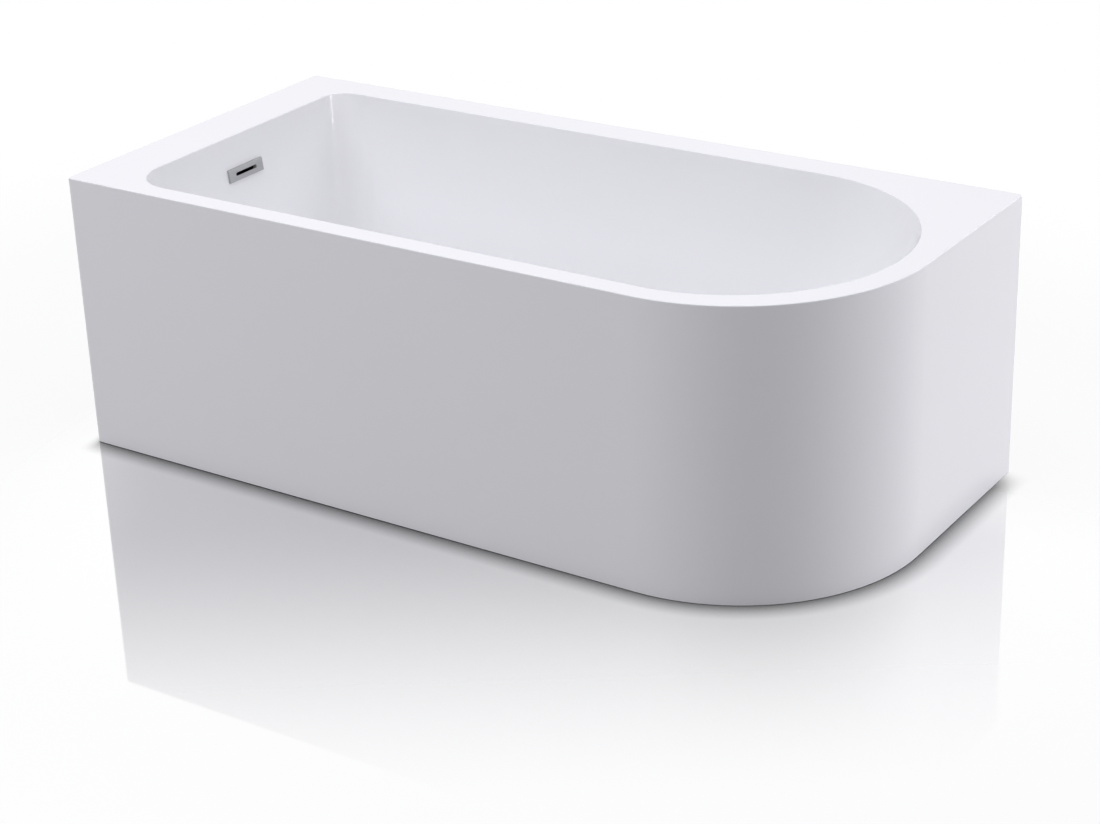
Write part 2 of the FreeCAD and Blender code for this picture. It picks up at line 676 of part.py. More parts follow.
def make_foot_pad():
    """A round plastic foot with a socket for its stud, on the origin."""
    socket = JOURNAL_RADIUS + RUNNING_GAP
    socket_floor = PAD_HEIGHT - PAD_SOCKET_DEPTH
    return turned(((0, 0), (PAD_RADIUS - 1, 0), (PAD_RADIUS, 1), (PAD_RADIUS, PAD_BASE),
                   (PAD_NECK_RADIUS + 4, PAD_BASE + 4), (PAD_NECK_RADIUS, PAD_HEIGHT - 4),
                   (PAD_NECK_RADIUS, PAD_HEIGHT), (socket, PAD_HEIGHT), (socket, socket_floor), (0, socket_floor)))


def make_foot_stud():
    """The threaded stud: a journal in the pad, a hexagon to turn it by, and the bar up through the crossbar."""
    collar_bottom = PAD_HEIGHT + SEAT_GAP
    collar_top = collar_bottom + COLLAR_HEIGHT
    journal = rod(JOURNAL_RADIUS, PAD_HEIGHT - PAD_SOCKET_DEPTH + SEAT_GAP, collar_bottom + 1)
    collar = hexagon(COLLAR_ACROSS_FLATS, collar_bottom, collar_top)
    bar = rod(STUD_RADIUS, collar_top - 1, CROSSBAR_TOP + STUD_TOP_MARGIN)
    end = max(bar.Edges, key=lambda e: e.BoundBox.ZMin)
    return joined([journal, collar, bar.makeChamfer(STUD_RADIUS / 6, [end])])


def make_weld_nuts():
    """The nuts on top of the crossbars that the studs turn in."""
    nut = hex_nut(NUT_ACROSS_FLATS, STUD_RADIUS + RUNNING_GAP, CROSSBAR_TOP, CROSSBAR_TOP + WELD_NUT_HEIGHT)
    return group([moved(nut, x, y) for x, y in foot_places()])


def make_lock_nuts():
    """The nuts under the crossbars that lock the studs."""
    nut = hex_nut(NUT_ACROSS_FLATS, STUD_RADIUS + RUNNING_GAP, CROSSBAR_BOTTOM - LOCK_NUT_HEIGHT, CROSSBAR_BOTTOM)
    return group([moved(nut, x, y) for x, y in foot_places()])


# Drain, press-to-open plug, waste body and trap, all about the Z axis and then moved to the drain


def at_drain(shape):
    """Moves a shape made about the Z axis to the drain."""
    return moved(shape, DRAIN_X, BASIN_Y)


def barrel_top():
    """The top of the plug's barrel, level with the bottom of the flange's disc."""
    return FLANGE_BOTTOM


def piston_top():
    """The top of the stem's piston in the open plug: just under the barrel's bush."""
    return barrel_top() - BARREL_BUSH - SEAT_GAP


def plug_underside():
    """The underside of the open plug's cap: the seal's thickness and the travel above the flange."""
    return FLANGE_TOP + PLUG_SEAL_THICKNESS + PLUG_TRAVEL + SEAT_GAP


def make_drain_flange():
    """The drain's flange with its spigot and the spider that carries the plug's barrel."""
    disc = turned(((FLANGE_BORE, FLANGE_BOTTOM), (FLANGE_RADIUS, FLANGE_BOTTOM),
                   (FLANGE_RADIUS, FLANGE_TOP - 1.5), (FLANGE_RADIUS - 3, FLANGE_TOP),
                   (FLANGE_BORE + 2, FLANGE_TOP), (FLANGE_BORE, FLANGE_TOP - 1)))
    spigot_bottom = FLANGE_BOTTOM - SPIGOT_LENGTH
    spigot = ring(SPIGOT_RADIUS, FLANGE_BORE, spigot_bottom, FLANGE_BOTTOM + 1)
    hub = ring(BARREL_RADIUS + 2, BARREL_RADIUS, spigot_bottom, FLANGE_BOTTOM)
    parts = [disc, spigot, hub]
    for i in range(SPIDER_ARMS):
        arm = box(BARREL_RADIUS + 1, FLANGE_BORE + 1, -SPIDER_ARM_WIDTH / 2, SPIDER_ARM_WIDTH / 2,
                  spigot_bottom, FLANGE_BOTTOM - 2)
        parts.append(arm.rotated(Vector(), Vector(0, 0, 1), 360 * i / SPIDER_ARMS))
    return at_drain(joined(parts))


def make_drain_gasket():
    """The thin gasket between the flange and the floor of the well."""
    return at_drain(ring(FLANGE_RADIUS - 1, DRAIN_HOLE_RADIUS, WELL_FLOOR, FLANGE_BOTTOM))


def make_waste_gasket():
    """The thicker gasket between the basin's boss and the waste body."""
    return at_drain(ring(WASTE_FLANGE_RADIUS - 1, DRAIN_HOLE_RADIUS + 1, WASTE_TOP, BOSS_BOTTOM))


def make_plug_cap():
    """The domed cap with its stem and piston, in the open position."""
    base = plug_underside()
    top = base + PLUG_EDGE
    rim = Vector(PLUG_RADIUS, 0, top)
    sphere_radius = (PLUG_RADIUS ** 2 + PLUG_DOME ** 2) / (2 * PLUG_DOME)
    half_way = PLUG_RADIUS / 2
    rise = math.sqrt(sphere_radius ** 2 - half_way ** 2) - (sphere_radius - PLUG_DOME)
    piston_bottom = piston_top() - PISTON_HEIGHT
    outline = [Vector(0, 0, top + PLUG_DOME), Vector(0, 0, piston_bottom), Vector(PISTON_RADIUS, 0, piston_bottom),
               Vector(PISTON_RADIUS, 0, piston_top()), Vector(STEM_RADIUS, 0, piston_top()),
               Vector(STEM_RADIUS, 0, base), Vector(PLUG_RADIUS - 1, 0, base), Vector(PLUG_RADIUS, 0, base + 1), rim]
    edges = [Part.LineSegment(a, b).toShape() for a, b in zip(outline, outline[1:])]
    edges.append(Part.Arc(rim, Vector(half_way, 0, top + rise), outline[0]).toShape())
    return at_drain(Part.Face(Part.Wire(edges)).revolve(Vector(), Vector(0, 0, 1), 360))


def make_plug_seal():
    """The rubber ring under the cap, held by its bore on the stem's collar."""
    base = plug_underside()
    return at_drain(ring(PLUG_SEAL_RADIUS, PLUG_SEAL_BORE, base - PLUG_SEAL_THICKNESS, base))


def make_plug_barrel():
    """The barrel that guides the stem and holds the spring."""
    top, bottom = barrel_top(), barrel_top() - BARREL_LENGTH
    bush = STEM_RADIUS + RUNNING_GAP
    return at_drain(turned(((0, bottom), (BARREL_RADIUS, bottom), (BARREL_RADIUS, top), (bush, top),
                            (bush, top - BARREL_BUSH), (BARREL_BORE, top - BARREL_BUSH),
                            (BARREL_BORE, bottom + BARREL_FLOOR), (0, bottom + BARREL_FLOOR))))


def arc_to(start, end, heading):
    """The arc from one point to another that leaves along a heading."""
    chord = end - start
    along = Vector(chord).normalize()
    sideways = heading - along * heading.dot(along)
    angle = math.acos(max(-1.0, min(1.0, heading.dot(along))))
    middle = (start + end) * 0.5 + sideways.normalize() * (chord.Length / 2 * math.tan(angle / 2))
    return Part.Arc(start, middle, end).toShape()


def two_arcs(start, start_heading, end, end_heading):
    """A pair of arcs that joins two points smoothly along their headings."""
    gap, both = end - start, start_heading + end_heading
    bend = 2 * (1 - start_heading.dot(end_heading))
    reach = (math.sqrt(gap.dot(both) ** 2 + bend * gap.dot(gap)) - gap.dot(both)) / bend
    meet = (start + end + (start_heading - end_heading) * reach) * 0.5
    into_meet = arc_to(end, meet, end_heading * -1)
    return [arc_to(start, meet, start_heading), into_meet]


def make_plug_spring():
    """The coil spring under the piston, one round wire of even pitch."""
    bottom = barrel_top() - BARREL_LENGTH + BARREL_FLOOR + SEAT_GAP + SPRING_WIRE_RADIUS
    top = piston_top() - PISTON_HEIGHT - SEAT_GAP - SPRING_WIRE_RADIUS
    pitch = (top - bottom) / SPRING_TURNS
    climb = pitch / (2 * math.pi)

    def place(turn):
        angle = 2 * math.pi * turn
        return Vector(SPRING_MEAN_RADIUS * math.cos(angle), SPRING_MEAN_RADIUS * math.sin(angle), bottom + pitch * turn)

    def heading(turn):
        angle = 2 * math.pi * turn
        return Vector(-SPRING_MEAN_RADIUS * math.sin(angle), SPRING_MEAN_RADIUS * math.cos(angle), climb).normalize()

    edges = []
    for quarter in range(4 * SPRING_TURNS):
        a, b = quarter / 4, (quarter + 1) / 4
        edges += two_arcs(place(a), heading(a), place(b), heading(b))
    path = Part.Wire(Part.__sortEdges__(edges))
    section = Part.Wire(Part.makeCircle(SPRING_WIRE_RADIUS, place(0), heading(0)))
    print(f"plug spring: least gap between turns {pitch - 2 * SPRING_WIRE_RADIUS:.2f} mm")
    return at_drain(path.makePipeShell([section], True, False))


def make_waste_body():
    """The waste body: flange, bowl, the dip tube into the trap and the inlet for the overflow hose."""
    neck = SPIGOT_RADIUS + BOND_LINE
    neck_bottom = FLANGE_BOTTOM - SPIGOT_LENGTH - BOND_LINE
    dip_bore = DIP_RADIUS - DIP_WALL
    dip_end = TRAP_FLOOR_GAP + TRAP_WALL + DIP_FLOOR_GAP
    flange_bottom = WASTE_TOP - WASTE_FLANGE_THICKNESS
    body = turned(((neck, WASTE_TOP), (WASTE_FLANGE_RADIUS, WASTE_TOP), (WASTE_FLANGE_RADIUS, flange_bottom),
                   (WASTE_RADIUS, flange_bottom), (WASTE_RADIUS, WASTE_BOTTOM), (DIP_RADIUS, WASTE_BOTTOM),
                   (DIP_RADIUS, dip_end), (dip_bore, dip_end), (dip_bore, WASTE_BOTTOM + 6),
                   (WASTE_BORE, WASTE_BOTTOM + 12), (WASTE_BORE, neck_bottom), (neck, neck_bottom)))
    reach = WASTE_RADIUS + HOSE_SPIGOT_LENGTH + HOSE_END_GAP
    start = Vector(-(WASTE_BORE + WASTE_RADIUS) / 2, 0, INLET_HEIGHT)
    inlet = Part.makeCylinder(HOSE_SPIGOT_RADIUS, reach + start.x, start, Vector(-1, 0, 0))
    way = Part.makeCylinder(HOSE_SPIGOT_RADIUS - SPIGOT_WALL, reach, Vector(0, 0, INLET_HEIGHT), Vector(-1, 0, 0))
    through_wall = way.cut(rod(WASTE_BORE - 1, WASTE_BOTTOM, WASTE_TOP))
    return at_drain(joined([body, inlet]).cut(through_wall))


def trap_neck_top():
    """The top of the trap cup's neck, a seal's thickness below the waste body's shoulder."""
    return WASTE_BOTTOM - TRAP_SEAL_THICKNESS


def trap_shoulder():
    """The flat shoulder of the trap's cup, at the foot of its neck."""
    return trap_neck_top() - TRAP_NECK_HEIGHT


def make_trap_cup():
    """The trap's cup with its neck and the stub that the outlet pipe plugs into."""
    top, bottom = trap_neck_top(), TRAP_FLOOR_GAP
    shoulder = trap_shoulder()
    wall, neck_bore = TRAP_WALL, TRAP_NECK_RADIUS - 2 * TRAP_WALL
    inside = TRAP_RADIUS - wall
    cup = turned(((0, bottom), (TRAP_RADIUS - TRAP_CORNER, bottom), (TRAP_RADIUS, bottom + TRAP_CORNER),
                  (TRAP_RADIUS, shoulder - TRAP_SHOULDER), (TRAP_RADIUS - TRAP_SHOULDER, shoulder),
                  (TRAP_NECK_RADIUS, shoulder), (TRAP_NECK_RADIUS, top), (neck_bore, top),
                  (neck_bore, shoulder - wall), (inside - TRAP_SHOULDER, shoulder - wall),
                  (inside, shoulder - TRAP_SHOULDER - wall), (inside, bottom + wall + TRAP_CORNER),
                  (inside - TRAP_CORNER, bottom + wall), (0, bottom + wall)))
    stub_radius = OUTLET_RADIUS + BOND_LINE + STUB_WALL
    from_wall = TRAP_RADIUS - 2 * wall
    stub_end = TRAP_RADIUS + STUB_LENGTH
    along = Vector(0, 1, 0)
    stub = Part.makeCylinder(stub_radius, stub_end - from_wall, Vector(0, from_wall, OUTLET_HEIGHT), along)
    stub = stub.cut(rod(TRAP_RADIUS - wall, bottom, top))
    bore = Part.makeCylinder(OUTLET_RADIUS - OUTLET_WALL, stub_end, Vector(0, 0, OUTLET_HEIGHT), along)
    seat = Vector(0, stub_end - STUB_DEPTH, OUTLET_HEIGHT)
    socket = Part.makeCylinder(OUTLET_RADIUS + BOND_LINE, STUB_DEPTH, seat, along)
    return at_drain(joined([cup, stub]).cut(bore.cut(rod(TRAP_RADIUS - 2 * wall, bottom, top))).cut(socket))


def make_trap_seal():
    """The ring between the trap's neck and the waste body."""
    top = trap_neck_top()
    return at_drain(ring(WASTE_RADIUS, TRAP_NECK_RADIUS - 2 * TRAP_WALL, top, WASTE_BOTTOM))


def make_trap_nut():
    """The ribbed union nut that pulls the trap's neck up to the waste body."""
    bottom = trap_shoulder() + SEAT_GAP
    top = bottom + TRAP_NUT_HEIGHT
    chamfer, ceiling = TRAP_NUT_RIB_RADIUS, top - TRAP_NUT_LIP
    neck, throat = TRAP_NECK_RADIUS + BOND_LINE, WASTE_RADIUS + BOND_LINE
    body = turned(((neck, bottom), (TRAP_NUT_RADIUS, bottom), (TRAP_NUT_RADIUS, top - chamfer),
                   (TRAP_NUT_RADIUS - chamfer, top), (throat, top), (throat, ceiling), (neck, ceiling)))
    ribs = [rod(TRAP_NUT_RIB_RADIUS, bottom, top - chamfer, TRAP_NUT_RADIUS).rotated(
        Vector(), Vector(0, 0, 1), 360 * i / TRAP_NUT_RIBS) for i in range(TRAP_NUT_RIBS)]
    return at_drain(joined([body] + ribs))


def outlet_along_y(profile):
    """A turned piece about the outlet's axis, its heights measured along +Y from the drain."""
    lying = turned(profile).rotated(Vector(), Vector(1, 0, 0), -90)
    return at_drain(moved(lying, 0, 0, OUTLET_HEIGHT))


def make_outlet_pipe():
    """The outlet pipe, with a stop collar behind the spigot that takes the house pipe."""
    start = TRAP_RADIUS + STUB_LENGTH - STUB_DEPTH + BOND_LINE
    bore = OUTLET_RADIUS - OUTLET_WALL
    collar = OUTLET_REACH - OUTLET_SPIGOT
    return outlet_along_y(((bore, start), (OUTLET_RADIUS, start), (OUTLET_RADIUS, collar - OUTLET_COLLAR),
                           (OUTLET_COLLAR_RADIUS, collar - OUTLET_COLLAR), (OUTLET_COLLAR_RADIUS, collar),
                           (OUTLET_RADIUS, collar), (OUTLET_RADIUS, OUTLET_REACH), (bore, OUTLET_REACH)))


def make_outlet_nut():
    """The union nut over the stub's end that grips the outlet pipe."""
    stub_end = TRAP_RADIUS + STUB_LENGTH
    stub_radius = OUTLET_RADIUS + 2 * BOND_LINE + STUB_WALL
    pipe = OUTLET_RADIUS + BOND_LINE
    face = stub_end + BOND_LINE
    start, end = stub_end - OUTLET_NUT_LENGTH + 5, stub_end + 5
    return outlet_along_y(((stub_radius, start), (OUTLET_NUT_RADIUS, start), (OUTLET_NUT_RADIUS, end - 2),
                           (OUTLET_NUT_RADIUS - 2, end), (pipe, end), (pipe, face), (stub_radius, face)))


# Overflow, modelled flat on the wall and then set on the tap-end wall


def make_overflow_cover():
    """The bright cover: a shallow tray with a round-ended slot, open at the back."""
    tray = plate_prism(COVER_WIDTH, COVER_HEIGHT, COVER_EDGE_RADIUS, 0, COVER_DEPTH)
    front_edges = [e for e in tray.Edges if e.BoundBox.ZMin > COVER_DEPTH - 1e-6]
    tray = tray.makeFillet(COVER_EDGE_RADIUS * 0.8, front_edges)
    hollow = plate_prism(COVER_WIDTH - 2 * COVER_WALL, COVER_HEIGHT - 2 * COVER_WALL, COVER_EDGE_RADIUS / 2,
                         0, COVER_DEPTH - COVER_WALL)
    slot = slot_prism(COVER_SLOT_WIDTH, COVER_SLOT_HEIGHT, 0, COVER_DEPTH)
    return on_tap_wall(tray.cut(hollow).cut(slot))


def make_overflow_frame():
    """The inner frame that the cover clips on to, screwed through the wall to the housing."""
    margin = COVER_WALL + INNER_FRAME_MARGIN
    plate = plate_prism(COVER_WIDTH - 2 * margin, COVER_HEIGHT - 2 * margin, COVER_EDGE_RADIUS / 2, 0,
                        INNER_FRAME_DEPTH)
    plate = plate.cut(slot_prism(OVERFLOW_PORT_WIDTH, OVERFLOW_PORT_HEIGHT, 0, INNER_FRAME_DEPTH))
    for x in overflow_screw_places():
        plate = plate.cut(rod(SCREW_RADIUS + HOLE_CLEARANCE, 0, INNER_FRAME_DEPTH, x))
        plate = plate.cut(rod(SCREW_HEAD_RADIUS + HOLE_CLEARANCE, INNER_FRAME_DEPTH - OVERFLOW_SCREW_HEAD_HEIGHT,
                              INNER_FRAME_DEPTH, x))
    return on_tap_wall(plate)


def housing_face():
    """How far behind the wall's inside the housing's flange stands."""
    return LAMINATE_OUTSIDE + OVERFLOW_GASKET_THICKNESS


def make_overflow_gasket():
    """The gasket between the laminate and the housing."""
    back = -housing_face()
    plate = plate_prism(HOUSING_WIDTH, HOUSING_HEIGHT, HOUSING_FLANGE, back, back + OVERFLOW_GASKET_THICKNESS)
    plate = plate.cut(slot_prism(OVERFLOW_PORT_WIDTH, OVERFLOW_PORT_HEIGHT, back, 0))
    for x in overflow_screw_places():
        plate = plate.cut(rod(SCREW_RADIUS + HOLE_CLEARANCE, back, 0, x))
    return on_tap_wall(plate)


def hose_axis_depth():
    """How far behind the wall's inside the hose's upper end lies."""
    return housing_face() + HOUSING_DEPTH / 2


def make_overflow_housing():
    """The housing behind the wall: a flanged box with screw bosses and a spigot pointing down for the hose."""
    face = -housing_face()
    back = face - HOUSING_DEPTH
    flange = plate_prism(HOUSING_WIDTH, HOUSING_HEIGHT, HOUSING_FLANGE, face - HOUSING_FLANGE_THICKNESS, face)
    width, height = OVERFLOW_PORT_WIDTH + 2 * HOUSING_WALL, HOUSING_HEIGHT - 2 * HOUSING_FLANGE
    chamber = plate_prism(width, height, HOUSING_FLANGE, back, face)
    spigot_end = -height / 2 - HOSE_SPIGOT_LENGTH - HOSE_END_GAP
    axis = -hose_axis_depth()
    down = Vector(0, -1, 0)
    spigot = Part.makeCylinder(HOSE_SPIGOT_RADIUS, -spigot_end, Vector(0, 0, axis), down)
    bosses = [rod(SCREW_HEAD_RADIUS, face - 2 * HOUSING_FLANGE_THICKNESS, face, x) for x in overflow_screw_places()]
    body = joined([flange, chamber, spigot] + bosses)
    inside = plate_prism(width - 2 * HOUSING_WALL, height - 2 * HOUSING_WALL, HOUSING_FLANGE / 2,
                         back + HOUSING_WALL, face)
    way = Part.makeCylinder(HOSE_SPIGOT_RADIUS - SPIGOT_WALL, -spigot_end, Vector(0, 0, axis), down)
    body = body.cut(inside).cut(way)
    for x in overflow_screw_places():
        body = body.cut(rod(SCREW_RADIUS, face - 2 * HOUSING_FLANGE_THICKNESS, face, x))
    return on_tap_wall(body)


def make_overflow_screws():
    """The two screws from the inner frame, through the wall, into the housing's bosses."""
    seat = INNER_FRAME_DEPTH - OVERFLOW_SCREW_HEAD_HEIGHT
    length = seat + housing_face() + 1.5 * HOUSING_FLANGE_THICKNESS
    one = screw(SCREW_RADIUS, length, OVERFLOW_SCREW_HEAD_HEIGHT).rotated(Vector(), Vector(1, 0, 0), 180)
    return on_tap_wall(group([moved(one, x, 0, seat) for x in overflow_screw_places()]))


# Ribbed hose from the overflow down to the waste


class HoseRoute:
    """The hose's middle line: down along the wall, one bend, and level to the waste's inlet."""

    def __init__(self):
        top_level = -(HOUSING_HEIGHT / 2 - HOUSING_FLANGE) - HOSE_END_GAP
        start = on_tap_wall(Part.Vertex(0, 0, 0)).Placement.multVec(Vector(0, top_level, -hose_axis_depth()))
        self.start = start
        self.down = Vector(math.sin(TAP_END_LEAN), 0, -math.cos(TAP_END_LEAN))
        self.level = Vector(1, 0, 0)
        self.end = Vector(DRAIN_X - WASTE_RADIUS - HOSE_END_GAP, BASIN_Y, INLET_HEIGHT)
        fall = (start.z - INLET_HEIGHT) / -self.down.z
        corner = start + self.down * fall
        self.turn = math.pi / 2 - TAP_END_LEAN
        tangent = HOSE_BEND_RADIUS * math.tan(self.turn / 2)
        self.fall = fall - tangent
        self.bend_start = start + self.down * self.fall
        self.bend_end = corner + self.level * tangent
        self.bend_centre = self.bend_end + Vector(0, 0, HOSE_BEND_RADIUS)
        self.bend = HOSE_BEND_RADIUS * self.turn
        self.run = (self.end - self.bend_end).Length
        self.length = self.fall + self.bend + self.run

    def heading_angle(self, distance):
        """How far the hose still is from level, in radians, at a distance along it."""
        turned_by = min(max(distance - self.fall, 0.0), self.bend) / HOSE_BEND_RADIUS
        return self.turn - turned_by

    def point(self, distance):
        """The middle line's point at a distance along it."""
        if distance <= self.fall:
            return self.start + self.down * distance
        if distance >= self.fall + self.bend:
            return self.bend_end + self.level * (distance - self.fall - self.bend)
        steep = self.heading_angle(distance)
        return self.bend_centre - Vector(math.sin(steep), 0, math.cos(steep)) * HOSE_BEND_RADIUS

    def heading(self, distance):
        """The middle line's direction at a distance along it."""
        steep = self.heading_angle(distance)
        return Vector(math.cos(steep), 0, -math.sin(steep))

    def circle(self, distance, radius):
        """A round section across the hose, its seam always on the same side."""
        centre, along = self.point(distance), self.heading(distance)
        across = Vector(0, 1, 0)
        circle = Part.Circle(centre, along, radius)
        circle.XAxis = across
        return Part.Wire(circle.toShape())

    def wire(self):
        """The middle line as two straights and an arc."""
        middle = self.point(self.fall + self.bend / 2)
        return Part.Wire([Part.LineSegment(self.start, self.bend_start).toShape(),
                          Part.Arc(self.bend_start, middle, self.bend_end).toShape(),
                          Part.LineSegment(self.bend_end, self.end).toShape()])


def make_overflow_hose():
    """The ribbed hose with plain cuffs at both ends and a clear bore."""
    route = HoseRoute()
    ribbed = route.length - 2 * HOSE_CUFF_LENGTH
    ribs = int(ribbed / HOSE_RIB_PITCH)
    pitch = ribbed / ribs
    sections = [route.circle(0, HOSE_ROOT_RADIUS)]
    for rib in range(ribs):
        start = HOSE_CUFF_LENGTH + rib * pitch
        for share, radius in ((0.1, HOSE_ROOT_RADIUS), (0.3, HOSE_CREST_RADIUS),
                              (0.7, HOSE_CREST_RADIUS), (0.9, HOSE_ROOT_RADIUS)):
            sections.append(route.circle(start + share * pitch, radius))
    sections.append(route.circle(route.length, HOSE_ROOT_RADIUS))
    outside = Part.makeLoft(sections, True, True)
    bore = route.wire().makePipeShell([route.circle(0, HOSE_BORE)], True, False)
    hose = outside.cut(bore)
    print(f"overflow hose: {ribs} ribs, {route.length:.1f} mm long, bend radius {HOSE_BEND_RADIUS:.0f} mm, "
          f"bore volume {bore.Volume / (math.pi * HOSE_BORE ** 2 * route.length):.4f} of section times length")
    return hose


def hose_clamp():
    """A worm-drive clamp about the Z axis, its screw across +Y."""
    inner = HOSE_ROOT_RADIUS + BOND_LINE
    outer = inner + CLAMP_THICKNESS
    half = CLAMP_WIDTH / 2
    band = ring(outer, inner, -half, half)
    housing = box(-CLAMP_SCREW_LENGTH / 2 + 2, CLAMP_SCREW_LENGTH / 2 - 2, outer - CLAMP_THICKNESS / 2,
                  outer + 2 * CLAMP_SCREW_RADIUS, -half, half)
    worm = Part.makeCylinder(CLAMP_SCREW_RADIUS, CLAMP_SCREW_LENGTH,
                             Vector(-CLAMP_SCREW_LENGTH / 2, outer + CLAMP_SCREW_RADIUS, 0), Vector(1, 0, 0))
    housing = housing.cut(rod(inner, -half, half))
    return joined([band, housing, worm])


def make_hose_clamps():
    """The clamps that hold the hose's cuffs on their spigots."""
    route = HoseRoute()
    clamps = []
    for distance in (CLAMP_FROM_END, route.length - CLAMP_FROM_END):
        turn = FreeCAD.Rotation(Vector(0, 0, 1), route.heading(distance))
        clamp = hose_clamp()
        clamp.Placement = FreeCAD.Placement(route.point(distance), turn)
        clamps.append(clamp)
    return group(clamps)


def make_parts():
    """Every node's solid, by name."""
    parts = {
        "basin_shell": make_basin_shell(),
        "basin_laminate": make_basin_laminate(),
        "apron": make_apron(),
        "base_board": make_base_board(),
        "rail_front": make_rail(-1),
        "rail_back": make_rail(1),
        "tube_end_caps": make_tube_end_caps(),
        "frame_bolts": make_frame_bolts(),
        "board_screws": make_board_screws(),
        "apron_brackets": make_apron_brackets(),
        "bracket_bolts": make_bracket_bolts(),
        "weld_nuts": make_weld_nuts(),
        "lock_nuts": make_lock_nuts(),
        "drain_flange": make_drain_flange(),
        "drain_gasket": make_drain_gasket(),
        "waste_gasket": make_waste_gasket(),
        "waste_body": make_waste_body(),
        "plug_cap": make_plug_cap(),
        "plug_seal": make_plug_seal(),
        "plug_barrel": make_plug_barrel(),
        "plug_spring": make_plug_spring(),
        "trap_cup": make_trap_cup(),
        "trap_seal": make_trap_seal(),
        "trap_nut": make_trap_nut(),
        "outlet_pipe": make_outlet_pipe(),
        "outlet_nut": make_outlet_nut(),
        "overflow_cover": make_overflow_cover(),
        "overflow_frame": make_overflow_frame(),
        "overflow_gasket": make_overflow_gasket(),
        "overflow_housing": make_overflow_housing(),
        "overflow_screws": make_overflow_screws(),
        "overflow_hose": make_overflow_hose(),
        "hose_clamps": make_hose_clamps(),
    }
    for name in CROSSBAR_X:
        parts["crossbar_" + name] = make_crossbar(name)
    for number, (x, y) in enumerate(foot_places(), 1):
        parts[f"foot_pad_{number}"] = moved(make_foot_pad(), x, y)
        parts[f"foot_stud_{number}"] = moved(make_foot_stud(), x, y)
    return parts


def main():
    """Builds every node and writes it to its own file."""
    os.makedirs("parts", exist_ok=True)
    for name, shape in make_parts().items():
        shape.exportStep(f"parts/{name}.step")
        print(f"{name}: {len(shape.Solids)} solids, {shape.Volume / 1000:.1f} cm3, valid {shape.isValid()}")


main()
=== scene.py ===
"""Looks of a back-to-wall corner bathtub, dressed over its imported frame. All lengths are in metres."""

import json
import logging
import math
from collections.abc import Iterable, Sequence
from dataclasses import dataclass, field
from enum import Enum

import bmesh
import bpy
from mathutils import Matrix, Vector


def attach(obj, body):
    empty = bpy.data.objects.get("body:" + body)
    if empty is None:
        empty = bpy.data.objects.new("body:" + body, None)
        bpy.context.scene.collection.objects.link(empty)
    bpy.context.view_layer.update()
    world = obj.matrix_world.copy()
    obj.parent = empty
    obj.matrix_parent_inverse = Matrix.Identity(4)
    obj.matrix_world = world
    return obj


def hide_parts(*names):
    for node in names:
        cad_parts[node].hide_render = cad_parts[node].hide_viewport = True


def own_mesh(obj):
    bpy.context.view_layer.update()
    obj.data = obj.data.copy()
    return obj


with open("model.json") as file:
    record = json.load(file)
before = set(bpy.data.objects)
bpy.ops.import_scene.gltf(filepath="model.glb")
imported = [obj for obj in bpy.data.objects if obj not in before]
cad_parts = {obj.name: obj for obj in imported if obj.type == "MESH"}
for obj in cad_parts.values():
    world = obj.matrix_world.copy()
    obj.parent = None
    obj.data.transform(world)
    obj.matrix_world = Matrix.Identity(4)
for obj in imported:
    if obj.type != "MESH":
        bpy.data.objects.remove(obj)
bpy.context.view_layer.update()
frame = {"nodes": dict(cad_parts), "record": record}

Triple = tuple[float, float, float]
Span = tuple[float, float]
Socket = bpy.types.NodeSocket
Edges = list[bmesh.types.BMEdge]

LOG = logging.getLogger("bathtub")
UP = Vector((0.0, 0.0, 1.0))
NOUGHT: Triple = (0.0, 0.0, 0.0)
WHITE = (1.0, 1.0, 1.0, 1.0)
COOL_WHITE: Triple = (0.95, 0.947, 1.0)
SMOOTH_UNDER = math.radians(32.0)
MERGE = 1e-6
FINE_MERGE = 1e-7
ROUND = 0.5


class Pattern(Enum):
    """What a finish shows when it is looked at closely."""

    POLISHED = "even skin with a faint flow mark"
    FIBRES = "chopped strands under resin"
    CHIPS = "pressed wood chips"
    SPANGLE = "crystals of a zinc bath"
    CLOUDED = "fine clouds of a plated or moulded skin"
    BRUSHED = "fine lines across the surface"


